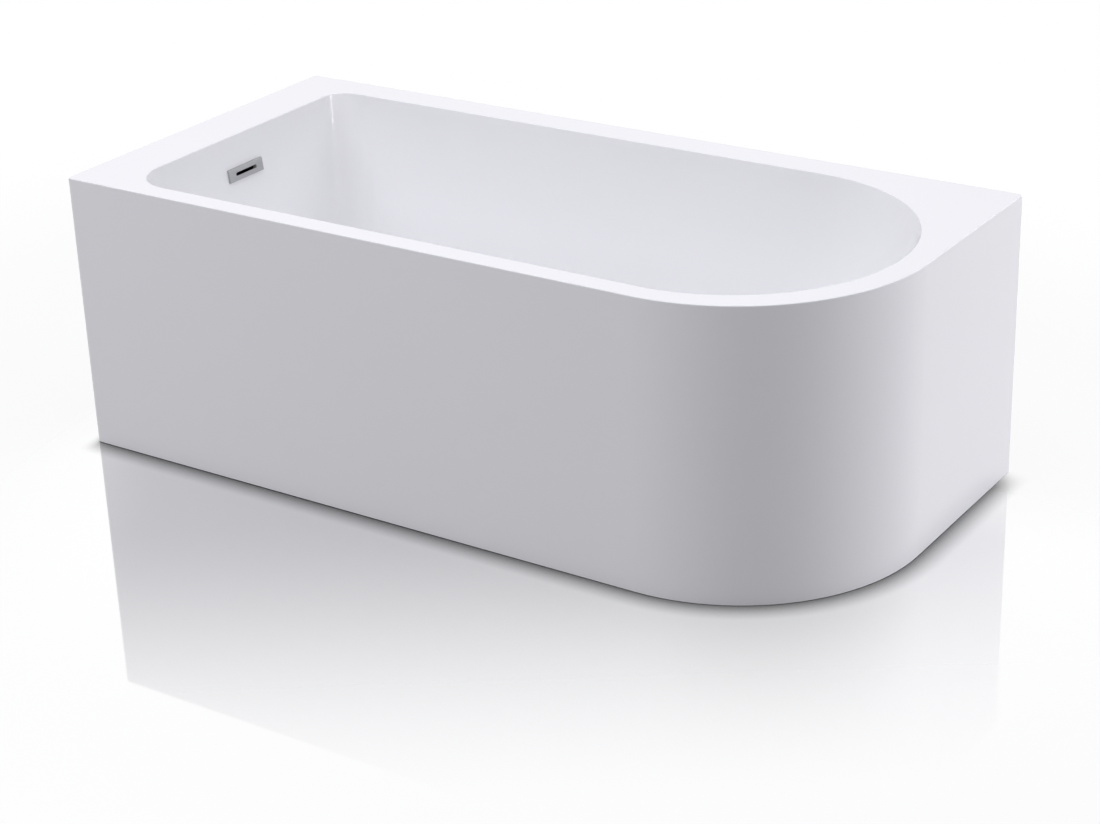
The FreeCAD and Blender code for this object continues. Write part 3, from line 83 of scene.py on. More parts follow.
class Shader:
    """A material's node tree, with the few nodes that the finishes and the floor share."""

    def __init__(self, name: str) -> None:
        """Starts a material with its principled surface and its place on the piece."""
        self.material = bpy.data.materials.new(name)
        self.material.use_nodes = True
        self.nodes = self.material.node_tree.nodes
        self.links = self.material.node_tree.links
        self.surface = self.nodes["Principled BSDF"]
        self.place = self.nodes.new("ShaderNodeTexCoord").outputs["Object"]

    def stretched(self, scale: Triple, turn: Triple = NOUGHT) -> Socket:
        """The place on the piece, stretched and turned, for a pattern that has a direction.

        Args:
            scale: how much finer the pattern is along each axis.
            turn: angles about the axes, in radians.

        Returns:
            The mapped coordinates.
        """
        node = self.nodes.new("ShaderNodeMapping")
        node.vector_type = "TEXTURE"
        node.inputs["Scale"].default_value = tuple(1.0 / s for s in scale)
        node.inputs["Rotation"].default_value = turn
        self.links.new(self.place, node.inputs["Vector"])
        return node.outputs["Vector"]

    def split(self, place: Socket) -> tuple[Socket, Socket]:
        """The X and the Y of a place."""
        node = self.nodes.new("ShaderNodeSeparateXYZ")
        self.links.new(place, node.inputs[0])
        return node.outputs["X"], node.outputs["Y"]

    def noise(self, size: float, detail: float, at: Socket | None = None) -> Socket:
        """Soft clouds.

        Args:
            size: width of a cloud, in metres.
            detail: how many finer layers it holds.
            at: mapped coordinates, or none for the plain place.

        Returns:
            The height of the clouds, from 0 to 1.
        """
        node = self.nodes.new("ShaderNodeTexNoise")
        node.inputs["Scale"].default_value = 1.0 / size
        node.inputs["Detail"].default_value = detail
        self.links.new(at or self.place, node.inputs["Vector"])
        return node.outputs["Fac"]

    def cells(self, size: float, at: Socket | None = None) -> Socket:
        """Crystals or chips, each with a colour of its own.

        Args:
            size: width of a cell, in metres.
            at: mapped coordinates, or none for the plain place.

        Returns:
            The cells' colours.
        """
        node = self.nodes.new("ShaderNodeTexVoronoi")
        node.inputs["Scale"].default_value = 1.0 / size
        self.links.new(at or self.place, node.inputs["Vector"])
        return node.outputs["Color"]

    def between(self, height: Socket, low: float, high: float, start: float = 0.3, end: float = 0.7,
                soft: bool = False) -> Socket:
        """A value that follows a pattern from low to high.

        Args:
            height: the pattern.
            low: value where the pattern is at start or under.
            high: value where it is at end or over.
            start: pattern height that gives low.
            end: pattern height that gives high.
            soft: whether the change eases in and out.

        Returns:
            The value.
        """
        node = self.nodes.new("ShaderNodeMapRange")
        node.interpolation_type = "SMOOTHSTEP" if soft else "LINEAR"
        self.links.new(height, node.inputs["Value"])
        for name, value in (("From Min", start), ("From Max", end), ("To Min", low), ("To Max", high)):
            node.inputs[name].default_value = value
        return node.outputs["Result"]

    def tint(self, height: Socket, dark: Triple, light: Triple) -> Socket:
        """A colour that follows a pattern from dark to light.

        Args:
            height: the pattern, from 0 to 1.
            dark: colour at 0.
            light: colour at 1.

        Returns:
            The colour.
        """
        node = self.nodes.new("ShaderNodeMix")
        node.data_type = "RGBA"
        sockets = {s.identifier: s for s in node.inputs}
        sockets["A_Color"].default_value = (*dark, 1.0)
        sockets["B_Color"].default_value = (*light, 1.0)
        self.links.new(height, sockets["Factor_Float"])
        return next(s for s in node.outputs if s.identifier == "Result_Color")

    def sums(self, first: Socket, second: Socket, how: str) -> Socket:
        """Two patterns put together by one sum, such as ADD, MULTIPLY or MAXIMUM."""
        node = self.nodes.new("ShaderNodeMath")
        node.operation = how
        self.links.new(first, node.inputs[0])
        self.links.new(second, node.inputs[1])
        return node.outputs[0]

    def raise_by(self, height: Socket, depth: float) -> None:
        """Gives the surface a relief.

        Args:
            height: the pattern, from 0 to 1.
            depth: depth of the relief, in metres.
        """
        node = self.nodes.new("ShaderNodeBump")
        node.inputs["Distance"].default_value = depth
        self.links.new(height, node.inputs["Height"])
        self.links.new(node.outputs["Normal"], self.surface.inputs["Normal"])

    def connect(self, socket: Socket, name: str) -> None:
        """Joins a pattern to one input of the surface."""
        self.links.new(socket, self.surface.inputs[name])

    def lobe(self, kind: str, **values: float | Sequence[float]) -> Socket:
        """A plain shader.

        Args:
            kind: its kind of node.
            values: what its inputs are set to.

        Returns:
            The shader.
        """
        node = self.nodes.new(kind)
        for name, value in values.items():
            node.inputs[name].default_value = value
        return node.outputs[0]

    def blend(self, share: Socket, first: Socket | None, second: Socket) -> Socket:
        """A shader between two others.

        Args:
            share: how much of the second shows, from 0 to 1.
            first: one shader, or none for black.
            second: the other shader.

        Returns:
            The mixed shader.
        """
        node = self.nodes.new("ShaderNodeMixShader")
        self.links.new(share, node.inputs[0])
        if first is not None:
            self.links.new(first, node.inputs[1])
        self.links.new(second, node.inputs[2])
        return node.outputs[0]


# How the patterns are turned, stretched and weighed.
STRAND_WAYS = ((0.0, 0.2), (0.1, 1.2), (-0.1, 2.2), (0.6, 0.4),
               (-0.6, 1.0), (0.7, 2.4), (-0.7, 2.9), (1.4, 0.3))
STRAND_SCALE: Triple = (1.0, 14.0, 14.0)
STRAND_EDGE: Span = (0.52, 0.78)
FLAKE_SCALE: Triple = (1.0, 1.7, 2.5)
FLAKE_TURN: Triple = (0.0, 0.0, 0.6)
FLAKE_SHARE = 0.75
DUST_SIZE = 0.5
BRUSH_SCALE: Triple = (1.0, 0.02, 1.0)
FULL: Span = (0.0, 1.0)
PLAIN_DETAIL, BRUSH_DETAIL, FINE_DETAIL = 1.0, 2.0, 4.0


@dataclass(frozen=True)
class Finish:
    """One finish of the tub: its colour, gloss and the pattern that it shows close up."""

    name: str
    colour: Triple
    roughness: Span
    pattern: Pattern
    grain: float
    depth: float
    contrast: float
    metallic: float = 0.0

    def shade(self, share: float) -> Triple:
        """The finish's colour, lighter or darker by a share."""
        return tuple(min(1.0, c * (1.0 + share)) for c in self.colour)

    def height(self, shader: Shader) -> Socket:
        """The pattern's height on the surface.

        Args:
            shader: the tree to build it in.

        Returns:
            The height, from 0 to 1.
        """
        if self.pattern is Pattern.FIBRES:
            places = [shader.stretched(STRAND_SCALE, (0.0, *way)) for way in STRAND_WAYS]
            highest, *others = [shader.noise(self.grain, PLAIN_DETAIL, place) for place in places]
            for strand in others:
                highest = shader.sums(highest, strand, "MAXIMUM")
            return shader.between(highest, *FULL, *STRAND_EDGE)
        if self.pattern is Pattern.CHIPS:
            flakes = shader.cells(self.grain, shader.stretched(FLAKE_SCALE, FLAKE_TURN))
            dust = shader.noise(self.grain * DUST_SIZE, FINE_DETAIL)
            return shader.sums(shader.between(flakes, 0.0, FLAKE_SHARE, *FULL),
                               shader.between(dust, 0.0, 1.0 - FLAKE_SHARE), "ADD")
        if self.pattern is Pattern.SPANGLE:
            return shader.between(shader.cells(self.grain), *FULL, *FULL)
        if self.pattern is Pattern.BRUSHED:
            lines = shader.noise(self.grain, BRUSH_DETAIL, shader.stretched(BRUSH_SCALE))
            return shader.between(lines, *FULL)
        detail = PLAIN_DETAIL if self.pattern is Pattern.POLISHED else FINE_DETAIL
        return shader.between(shader.noise(self.grain, detail), *FULL)

    def make(self) -> bpy.types.Material:
        """Builds the finish.

        Returns:
            The material.
        """
        shader = Shader(self.name)
        height = self.height(shader)
        colour = shader.tint(height, self.shade(-self.contrast), self.shade(self.contrast))
        shader.connect(colour, "Base Color")
        shader.connect(shader.between(height, *self.roughness, *FULL), "Roughness")
        shader.surface.inputs["Metallic"].default_value = self.metallic
        if self.depth:
            shader.raise_by(height, self.depth)
        return shader.material


FINISHES = (
    Finish("white_acrylic", (0.94, 0.94, 0.95), (0.13, 0.17), Pattern.POLISHED, 0.35, 0.0, 0.004),
    Finish("glass_fibre", (0.70, 0.68, 0.58), (0.45, 0.75), Pattern.FIBRES, 0.03, 0.0006, 0.10),
    Finish("chipboard", (0.56, 0.42, 0.27), (0.7, 0.9), Pattern.CHIPS, 0.006, 0.0002, 0.28),
    Finish("galvanised_steel", (0.56, 0.58, 0.60), (0.28, 0.45), Pattern.SPANGLE, 0.007, 0.0, 0.10,
           metallic=1.0),
    Finish("zinc_steel", (0.62, 0.62, 0.60), (0.25, 0.38), Pattern.CLOUDED, 0.004, 0.0, 0.06, metallic=1.0),
    Finish("black_plastic", (0.022, 0.022, 0.024), (0.42, 0.58), Pattern.CLOUDED, 0.0012, 0.00005, 0.15),
    Finish("chrome", (0.80, 0.81, 0.83), (0.05, 0.09), Pattern.CLOUDED, 0.03, 0.0, 0.01, metallic=1.0),
    Finish("black_rubber", (0.02, 0.02, 0.021), (0.7, 0.85), Pattern.CLOUDED, 0.002, 0.00004, 0.2),
    Finish("white_plastic", (0.78, 0.78, 0.77), (0.32, 0.44), Pattern.CLOUDED, 0.01, 0.00004, 0.015),
    Finish("hose_plastic", (0.66, 0.67, 0.68), (0.36, 0.5), Pattern.CLOUDED, 0.012, 0.00004, 0.03),
    Finish("brass", (0.72, 0.56, 0.28), (0.2, 0.34), Pattern.BRUSHED, 0.0006, 0.0, 0.05, metallic=1.0),
    Finish("stainless_steel", (0.66, 0.66, 0.66), (0.2, 0.32), Pattern.BRUSHED, 0.0008, 0.0, 0.04,
           metallic=1.0),
    Finish("satin_chrome", (0.47, 0.475, 0.48), (0.34, 0.44), Pattern.BRUSHED, 0.0005, 0.0, 0.03,
           metallic=1.0),
)


class Wardrobe:
    """Makes each finish once and gives it to the frame's nodes and to the pieces."""

    def __init__(self) -> None:
        """Makes the finishes."""
        self.materials = {finish.name: finish.make() for finish in FINISHES}

    def dress_nodes(self) -> None:
        """Gives every node of the frame the finish that its record names."""
        for subpart in frame["record"]["subparts"]:
            node = frame["nodes"][subpart["node"]]
            node.data.materials.clear()
            node.data.materials.append(self.materials[subpart["material_slot"]])


def corners_of(edges: Edges) -> list[bmesh.types.BMVert]:
    """The points that some edges join, each once."""
    return list(dict.fromkeys(v for e in edges for v in e.verts))


@dataclass
class Workpiece:
    """A mesh on the bench, with the few ways in which the tub's pieces are shaped."""

    mesh: bmesh.types.BMesh = field(default_factory=bmesh.new)

    def wire(self, points: Iterable[Sequence[float]], closed: bool = False) -> Edges:
        """A line of edges.

        Args:
            points: the points that it passes.
            closed: whether it comes back to its first point.

        Returns:
            The edges.
        """
        verts = [self.mesh.verts.new(point) for point in points]
        pairs = list(zip(verts, verts[1:])) + ([(verts[-1], verts[0])] if closed else [])
        return [self.mesh.edges.new(pair) for pair in pairs]

    def rounded(self, half: Span, height: float, radius: float, steps: int) -> Edges:
        """A level rectangle of edges with rounded corners.

        Args:
            half: half its length and half its width.
            height: how high it lies.
            radius: radius of its corners.
            steps: edges in each corner.

        Returns:
            The edges.
        """
        x, y = half
        loop = self.wire([(-x, -y, height), (x, -y, height), (x, y, height), (-x, y, height)], closed=True)
        kept = []
        for vert in corners_of(loop):
            made = bmesh.ops.bevel(self.mesh, geom=[vert], offset=radius, offset_type="OFFSET",
                                   segments=steps, profile=ROUND, affect="VERTICES", clamp_overlap=False,
                                   material=-1)
            kept += made["verts"]
        return list(dict.fromkeys(e for v in kept if v.is_valid for e in v.link_edges))

    def skin(self, *loops: Edges) -> None:
        """Faces between each loop and the next."""
        for lower, upper in zip(loops, loops[1:]):
            bmesh.ops.bridge_loops(self.mesh, edges=[*lower, *upper])

    def fill(self, *loops: Edges) -> None:
        """A flat face inside a loop, less the loops that lie in it."""
        bmesh.ops.triangle_fill(self.mesh, edges=[e for loop in loops for e in loop], use_beauty=True)

    def turned(self, profile: Iterable[Span], steps: int) -> None:
        """A turned form about the upright axis.

        Args:
            profile: radius and height of each point of its outline.
            steps: faces round it.
        """
        edges = self.wire([(radius, 0.0, height) for radius, height in profile])
        bmesh.ops.spin(self.mesh, geom=[*corners_of(edges), *edges], cent=NOUGHT, axis=UP, angle=math.tau,
                       steps=steps, use_merge=True)

    def helix(self, edges: Edges, pitch: float, turns: int, steps: int) -> None:
        """Winds an outline up the upright axis.

        Args:
            edges: the outline.
            pitch: rise of one turn.
            turns: how many turns.
            steps: faces in one turn.
        """
        bmesh.ops.spin(self.mesh, geom=[*corners_of(edges), *edges], cent=NOUGHT, axis=UP,
                       dvec=UP * pitch / steps, angle=math.tau * turns, steps=steps * turns, use_merge=False)

    def merge(self, within: float = MERGE) -> None:
        """Merges points that lie on each other."""
        bmesh.ops.remove_doubles(self.mesh, verts=self.mesh.verts, dist=within)

    def face_outwards(self) -> None:
        """Turns every face outwards."""
        bmesh.ops.recalc_face_normals(self.mesh, faces=self.mesh.faces)

    def close(self) -> None:
        """Merges doubles, closes open ends and turns the faces outwards."""
        self.merge()
        open_edges = [e for e in self.mesh.edges if e.is_boundary]
        if open_edges:
            bmesh.ops.holes_fill(self.mesh, edges=open_edges, sides=0)
        self.face_outwards()

    def move(self, matrix: Matrix) -> None:
        """Puts the whole mesh in its place."""
        bmesh.ops.transform(self.mesh, matrix=matrix, verts=self.mesh.verts)

    def deliver(self, name: str, body: str, slot: str, material: bpy.types.Material,
                *replaced: str) -> bpy.types.Object:
        """Makes the mesh a piece of the tub.

        Args:
            name: the piece's name.
            body: the body that it rides on.
            slot: the record's slot of its finish, which is not used.
            material: its finish.
            replaced: the nodes that it stands for.

        Returns:
            The piece.
        """
        data = bpy.data.meshes.new(name)
        self.mesh.to_mesh(data)
        self.mesh.free()
        data.shade_smooth()
        data.set_sharp_from_angle(angle=SMOOTH_UNDER)
        data.materials.append(material)
        piece = bpy.data.objects.new(name, data)
        bpy.context.scene.collection.objects.link(piece)
        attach(piece, body)
        if replaced:
            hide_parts(*replaced)
        LOG.info("%s: %d faces on %s", name, len(data.polygons), body)
        return piece


# One rib of the hose: shares of the pitch, and of the rib's height there.
RIB = ((0.14, 0.0), (0.22, 0.35), (0.32, 0.82), (0.45, 1.0),
       (0.65, 1.0), (0.78, 0.82), (0.88, 0.35), (0.96, 0.0))


@dataclass(frozen=True)
class Overflow:
    """The overflow plate on the tap-end wall and the ribbed hose behind it."""

    at: Triple = (-0.719897, -0.013, 0.501)
    lean: float = math.radians(8.0)
    plate: Triple = (0.108, 0.028, 0.0046)
    plate_wall: float = 0.0015
    corner: float = 0.0012
    least_corner: float = 0.0004
    corner_steps: int = 4
    chamfer: float = 0.0009
    chamfer_middle: float = 0.3
    slot: Span = (0.066, 0.007)
    slot_break: float = 0.0004
    slot_round: float = 0.98
    slot_steps: int = 8
    hose_end: Triple = (-0.531, -0.013, 0.121)
    hose_from: Span = (-0.018, -0.0333)
    hose_straight: float = 0.130
    hose_bore: float = 0.015
    hose_root: float = 0.0165
    hose_crest: float = 0.0195
    hose_cuff: float = 0.040
    cuff_rise: float = 0.0006
    hose_ribs: int = 68
    hose_steps: int = 36
    bore_rows: int = 40
    route_steps: int = 64

    def frame_at(self) -> Matrix:
        """The overflow's own axes: along the wall, up it and out of it."""
        tilt, rise = math.sin(self.lean), math.cos(self.lean)
        turn = Matrix(((0.0, -tilt, rise), (1.0, 0.0, 0.0), (0.0, rise, tilt))).to_4x4()
        return Matrix.Translation(self.at) @ turn

    def loop(self, work: Workpiece, inset: float, height: float) -> Edges:
        """An outline of the plate.

        Args:
            work: the mesh on the bench.
            inset: how far it lies inside the plate's edge.
            height: how far it lies out of the wall.

        Returns:
            The outline's edges.
        """
        half = (self.plate[0] / 2 - inset, self.plate[1] / 2 - inset)
        return work.rounded(half, height, max(self.corner - inset, self.least_corner), self.corner_steps)

    def slot_loop(self, work: Workpiece, grow: float, height: float) -> Edges:
        """An outline of the slot.

        Args:
            work: the mesh on the bench.
            grow: how far it lies outside the slot's edge.
            height: how far it lies out of the wall.

        Returns:
            The outline's edges.
        """
        half = (self.slot[0] / 2 + grow, self.slot[1] / 2 + grow)
        return work.rounded(half, height, half[1] * self.slot_round, self.slot_steps)

    def build_plate(self, wardrobe: Wardrobe) -> None:
        """The satin plate with its bevelled edge and its slot."""
        work = Workpiece()
        front, wall = self.plate[2], self.plate_wall
        middle = self.chamfer * self.chamfer_middle
        outer = [self.loop(work, 0.0, 0.0), self.loop(work, 0.0, front - self.chamfer),
                 self.loop(work, middle, front - middle), self.loop(work, self.chamfer, front)]
        opening = [self.slot_loop(work, self.slot_break, front),
                   self.slot_loop(work, 0.0, front - self.slot_break),
                   self.slot_loop(work, 0.0, front - wall)]
        inner = [self.loop(work, wall, front - wall), self.loop(work, wall, 0.0)]
        work.skin(*outer)
        work.fill(outer[-1], opening[0])
        work.skin(*opening)
        work.fill(opening[-1], inner[0])
        work.skin(*inner, outer[0])
        work.move(self.frame_at())
        work.close()
        work.deliver("overflow_plate", "tub", "chrome", wardrobe.materials["satin_chrome"], "overflow_cover")

    def route(self) -> list[Vector]:
        """The hose's middle line, straight down from the overflow and in one bend to the waste.

        Returns:
            Points along its smooth curve.
        """
        start = self.frame_at() @ Vector((0.0, *self.hose_from))
        end = Vector(self.hose_end)
        down = Vector((math.sin(self.lean), 0.0, -math.cos(self.lean)))
        corner = start + down * (start.z - end.z) / math.cos(self.lean)
        curve = bpy.data.curves.new("hose_route", "CURVE")
        curve.dimensions = "3D"
        curve.resolution_u = self.route_steps
        spline = curve.splines.new("NURBS")
        controls = (start, start + down * self.hose_straight, corner, end)
        spline.points.add(len(controls) - 1)
        for point, place in zip(spline.points, controls):
            point.co = (*place, 1.0)
        spline.order_u = 3
        spline.use_endpoint_u = True
        holder = bpy.data.objects.new("hose_route", curve)
        line = bpy.data.meshes.new_from_object(holder)
        points = [v.co.copy() for v in line.vertices]
        bpy.data.objects.remove(holder)
        bpy.data.curves.remove(curve)
        bpy.data.meshes.remove(line)
        return points

    def hose_profile(self, length: float) -> list[Span]:
        """The straight hose's outline: a plain cuff, the ribs, the other cuff and back through the bore.

        Args:
            length: the hose's length.

        Returns:
            Radius and height of each point.
        """
        pitch = (length - 2 * self.hose_cuff) / self.hose_ribs
        rise = self.hose_crest - self.hose_root
        cuff = self.hose_root + self.cuff_rise
        profile = [(self.hose_bore, 0.0), (cuff, 0.0), (cuff, self.hose_cuff)]
        for rib in range(self.hose_ribs):
            base = self.hose_cuff + rib * pitch
            profile += [(self.hose_root + rise * up, base + along * pitch) for along, up in RIB]
        profile += [(cuff, length - self.hose_cuff), (cuff, length)]
        shares = [1.0 - row / self.bore_rows for row in range(self.bore_rows + 1)]
        return profile + [(self.hose_bore, length * share) for share in shares]

    def build_hose(self, wardrobe: Wardrobe) -> None:
        """The ribbed hose: turned straight, then laid along its route."""
        points = self.route()
        runs = [0.0]
        for before, after in zip(points, points[1:]):
            runs.append(runs[-1] + (after - before).length)
        work = Workpiece()
        work.turned(self.hose_profile(runs[-1]), self.hose_steps)
        work.merge()
        side = Vector((0.0, 1.0, 0.0))
        index = 0
        for vert in sorted(work.mesh.verts, key=lambda v: v.co.z):
            while index < len(runs) - 2 and vert.co.z > runs[index + 1]:
                index += 1
            way = (points[index + 1] - points[index]).normalized()
            middle = points[index] + way * (vert.co.z - runs[index])
            vert.co = middle + side * vert.co.x + way.cross(side) * vert.co.y
        work.face_outwards()
        LOG.info("hose length %.4f", runs[-1])
        work.deliver("ribbed_hose", "tub", "hose_plastic", wardrobe.materials["hose_plastic"],
                     "overflow_hose")

    def build(self, wardrobe: Wardrobe) -> None:
        """Builds and dresses the plate and the hose."""
        self.build_plate(wardrobe)
        self.build_hose(wardrobe)


@dataclass(frozen=True)
class PressPlug:
    """The spring of the press-to-open plug."""

    at: Span = (-0.5, -0.013)
    wire: float = 0.0006
    wire_faces: int = 12
    mean: float = 0.0066
    low: float = 0.1163
    high: float = 0.1414
    turns: int = 6
    turn_steps: int = 36
    travel: float = 0.008

    def build(self, wardrobe: Wardrobe) -> None:
        """The wound spring."""
        work = Workpiece()
        turn = Matrix.Translation((self.mean, 0.0, 0.0)) @ Matrix.Rotation(math.pi / 2, 4, "X")
        ring = bmesh.ops.create_circle(work.mesh, cap_ends=False, segments=self.wire_faces, radius=self.wire,
                                       matrix=turn)
        edges = list(dict.fromkeys(e for v in ring["verts"] for e in v.link_edges))
        pitch = (self.high - self.low - 2 * self.wire) / self.turns
        work.helix(edges, pitch, self.turns, self.turn_steps)
        work.move(Matrix.Translation((*self.at, self.low + self.wire)))
        work.close()
        spring = work.deliver("plug_coil", "tub", "stainless_steel", wardrobe.materials["stainless_steel"],
                              "plug_spring")
        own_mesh(spring)


@dataclass(frozen=True)
class LevellingFeet:
    """The levelling feet's threaded studs."""

    columns: tuple[float, ...] = (-0.805, -0.15, 0.54)
    rows: tuple[float, ...] = (-0.3, 0.3)
    pitch: float = 0.00175
    crest: float = 0.006
    root: float = 0.00507
    crest_land: Span = (0.42, 0.58)
    thread: Span = (0.0303, 0.1387)
    thread_steps: int = 18
    collar: Span = (0.0223, 0.0303)
    across_flats: float = 0.017
    collar_break: float = 0.0006
    journal: Span = (0.005, 0.0083)
    journal_break: float = 0.0005
    journal_steps: int = 32

    @property
    def places(self) -> list[Span]:
        """Where each foot stands."""
        return [(x, y) for x in self.columns for y in self.rows]

    def build(self, wardrobe: Wardrobe) -> None:
        """Cuts the stud once and sets a copy of it in each foot."""
        stud = self.cut_stud()
        for number, place in enumerate(self.places, 1):
            work = Workpiece(stud.mesh.copy())
            work.move(Matrix.Translation((*place, 0.0)))
            work.deliver(f"threaded_stud_{number}", f"stud_{number}", "zinc_steel",
                         wardrobe.materials["zinc_steel"], f"foot_stud_{number}")
        stud.mesh.free()

    def cut_stud(self) -> Workpiece:
        """The stud with its thread, its hexagon and its journal in the pad.

        Returns:
            The stud on the bench, upright at the origin.
        """
        work = Workpiece()
        self.add_thread(work)
        self.add_collar(work)
        radius, bottom = self.journal
        top, broken = self.collar[0], self.journal_break
        outline = [(0.0, bottom), (radius - broken, bottom), (radius, bottom + broken), (radius, top),
                   (0.0, top)]
        work.turned(outline, self.journal_steps)
        work.merge(FINE_MERGE)
        work.face_outwards()
        return work

    def add_thread(self, work: Workpiece) -> None:
        """The thread, wound past both ends and cut off level."""
        low, high = self.thread
        land = [(self.crest, share) for share in self.crest_land]
        profile = [(self.root, 0.0), *land, (self.root, 1.0)]
        edges = work.wire([(radius, 0.0, low + (share - 1.0) * self.pitch) for radius, share in profile])
        work.helix(edges, self.pitch, math.ceil((high - low) / self.pitch) + 1, self.thread_steps)
        work.merge()
        for height, way in ((low, -UP), (high, UP)):
            everything = [*work.mesh.verts, *work.mesh.edges, *work.mesh.faces]
            bmesh.ops.bisect_plane(work.mesh, geom=everything, plane_co=(0.0, 0.0, height), plane_no=way,
                                   clear_outer=True)
        work.close()

    def add_collar(self, work: Workpiece) -> None:
        """The hexagon that a spanner turns, with its edges broken."""
        low, high = self.collar
        made = bmesh.ops.create_circle(work.mesh, cap_ends=True, segments=6,
                                       radius=self.across_flats / math.sqrt(3.0),
                                       matrix=Matrix.Translation((0.0, 0.0, low)))
        face = made["verts"][0].link_faces[0]
        raised = bmesh.ops.extrude_face_region(work.mesh, geom=[face], use_keep_orig=True)
        verts = [g for g in raised["geom"] if isinstance(g, bmesh.types.BMVert)]
        bmesh.ops.translate(work.mesh, verts=verts, vec=UP * (high - low))
        edges = list(dict.fromkeys(e for v in (*verts, *made["verts"]) for e in v.link_edges))
        bmesh.ops.bevel(work.mesh, geom=edges, offset=self.collar_break, offset_type="OFFSET", segments=2,
                        profile=ROUND, affect="EDGES", material=-1)


def seen_ray(nodes: bpy.types.Nodes, links: bpy.types.NodeLinks) -> Socket:
    """Whether a ray comes from the camera, a gloss or a clear piece.

    Args:
        nodes: a tree's nodes.
        links: the tree's links.

    Returns:
        1 where it does, else 0.
    """
    path = nodes.new("ShaderNodeLightPath")
    result = path.outputs["Is Camera Ray"]
    for name in ("Is Glossy Ray", "Is Transmission Ray"):
        node = nodes.new("ShaderNodeMath")
        node.operation = "MAXIMUM"
        links.new(result, node.inputs[0])
        links.new(path.outputs[name], node.inputs[1])
        result = node.outputs[0]
    return result


def way_to(azimuth: float, elevation: float) -> Vector:
    """The way from the tub to a lamp or the camera.

    Args:
        azimuth: angle round the tub from its front, in radians.
        elevation: angle above the floor, in radians.

    Returns:
        The way, one metre long.
    """
    flat = math.cos(elevation)
    return Vector((math.sin(azimuth) * flat, -math.cos(azimuth) * flat, math.sin(elevation)))


@dataclass(frozen=True)
class Lamp:
    """A soft box, placed by the way that it shines from, in degrees.

    A glint shows only as a highlight on the basin. The other lamps show no highlights.
    """

    name: str
    azimuth: float
    elevation: float
    power: float
    size: Span = (3.0, 3.0)
    reach: float = 8.0
    towards: Triple = (0.0, 0.0, 0.3)
    glint: bool = False

    def build(self) -> None:
        """Hangs the soft box and turns it to the tub."""
        way = way_to(math.radians(self.azimuth), math.radians(self.elevation))
        light = bpy.data.lights.new(self.name, "AREA")
        light.shape = "RECTANGLE"
        light.size, light.size_y = self.size
        light.energy = self.power
        light.color = COOL_WHITE
        holder = bpy.data.objects.new(self.name, light)
        bpy.context.scene.collection.objects.link(holder)
        holder.location = Vector(self.towards) + way * self.reach
        holder.rotation_euler = (-way).to_track_quat("-Z", "Y").to_euler()
        holder.visible_camera = False
        holder.visible_diffuse = not self.glint
        holder.visible_glossy = self.glint
        if self.glint:
            shown_on = bpy.data.collections.new(self.name)
            shown_on.objects.link(frame["nodes"]["basin_shell"])
            holder.light_linking.receiver_collection = shown_on


LAMPS = (
    Lamp("overhead", -50.0, 86.0, 207.0, (5.0, 5.0), 6.0),
    Lamp("front", -15.0, 30.0, 105.0),
    Lamp("end", 125.0, 35.0, 650.0, (10.0, 7.5), 20.0),
    Lamp("front_strip", -54.0, 0.0, 91.0, (4.0, 0.5)),
    Lamp("end_strip", 125.0, 0.0, 276.0, (4.0, 0.5)),
    Lamp("glint", 95.6, 8.2, 30.0, (0.94, 0.63), 6.0, (-0.73, 0.28, 0.55), glint=True),
)


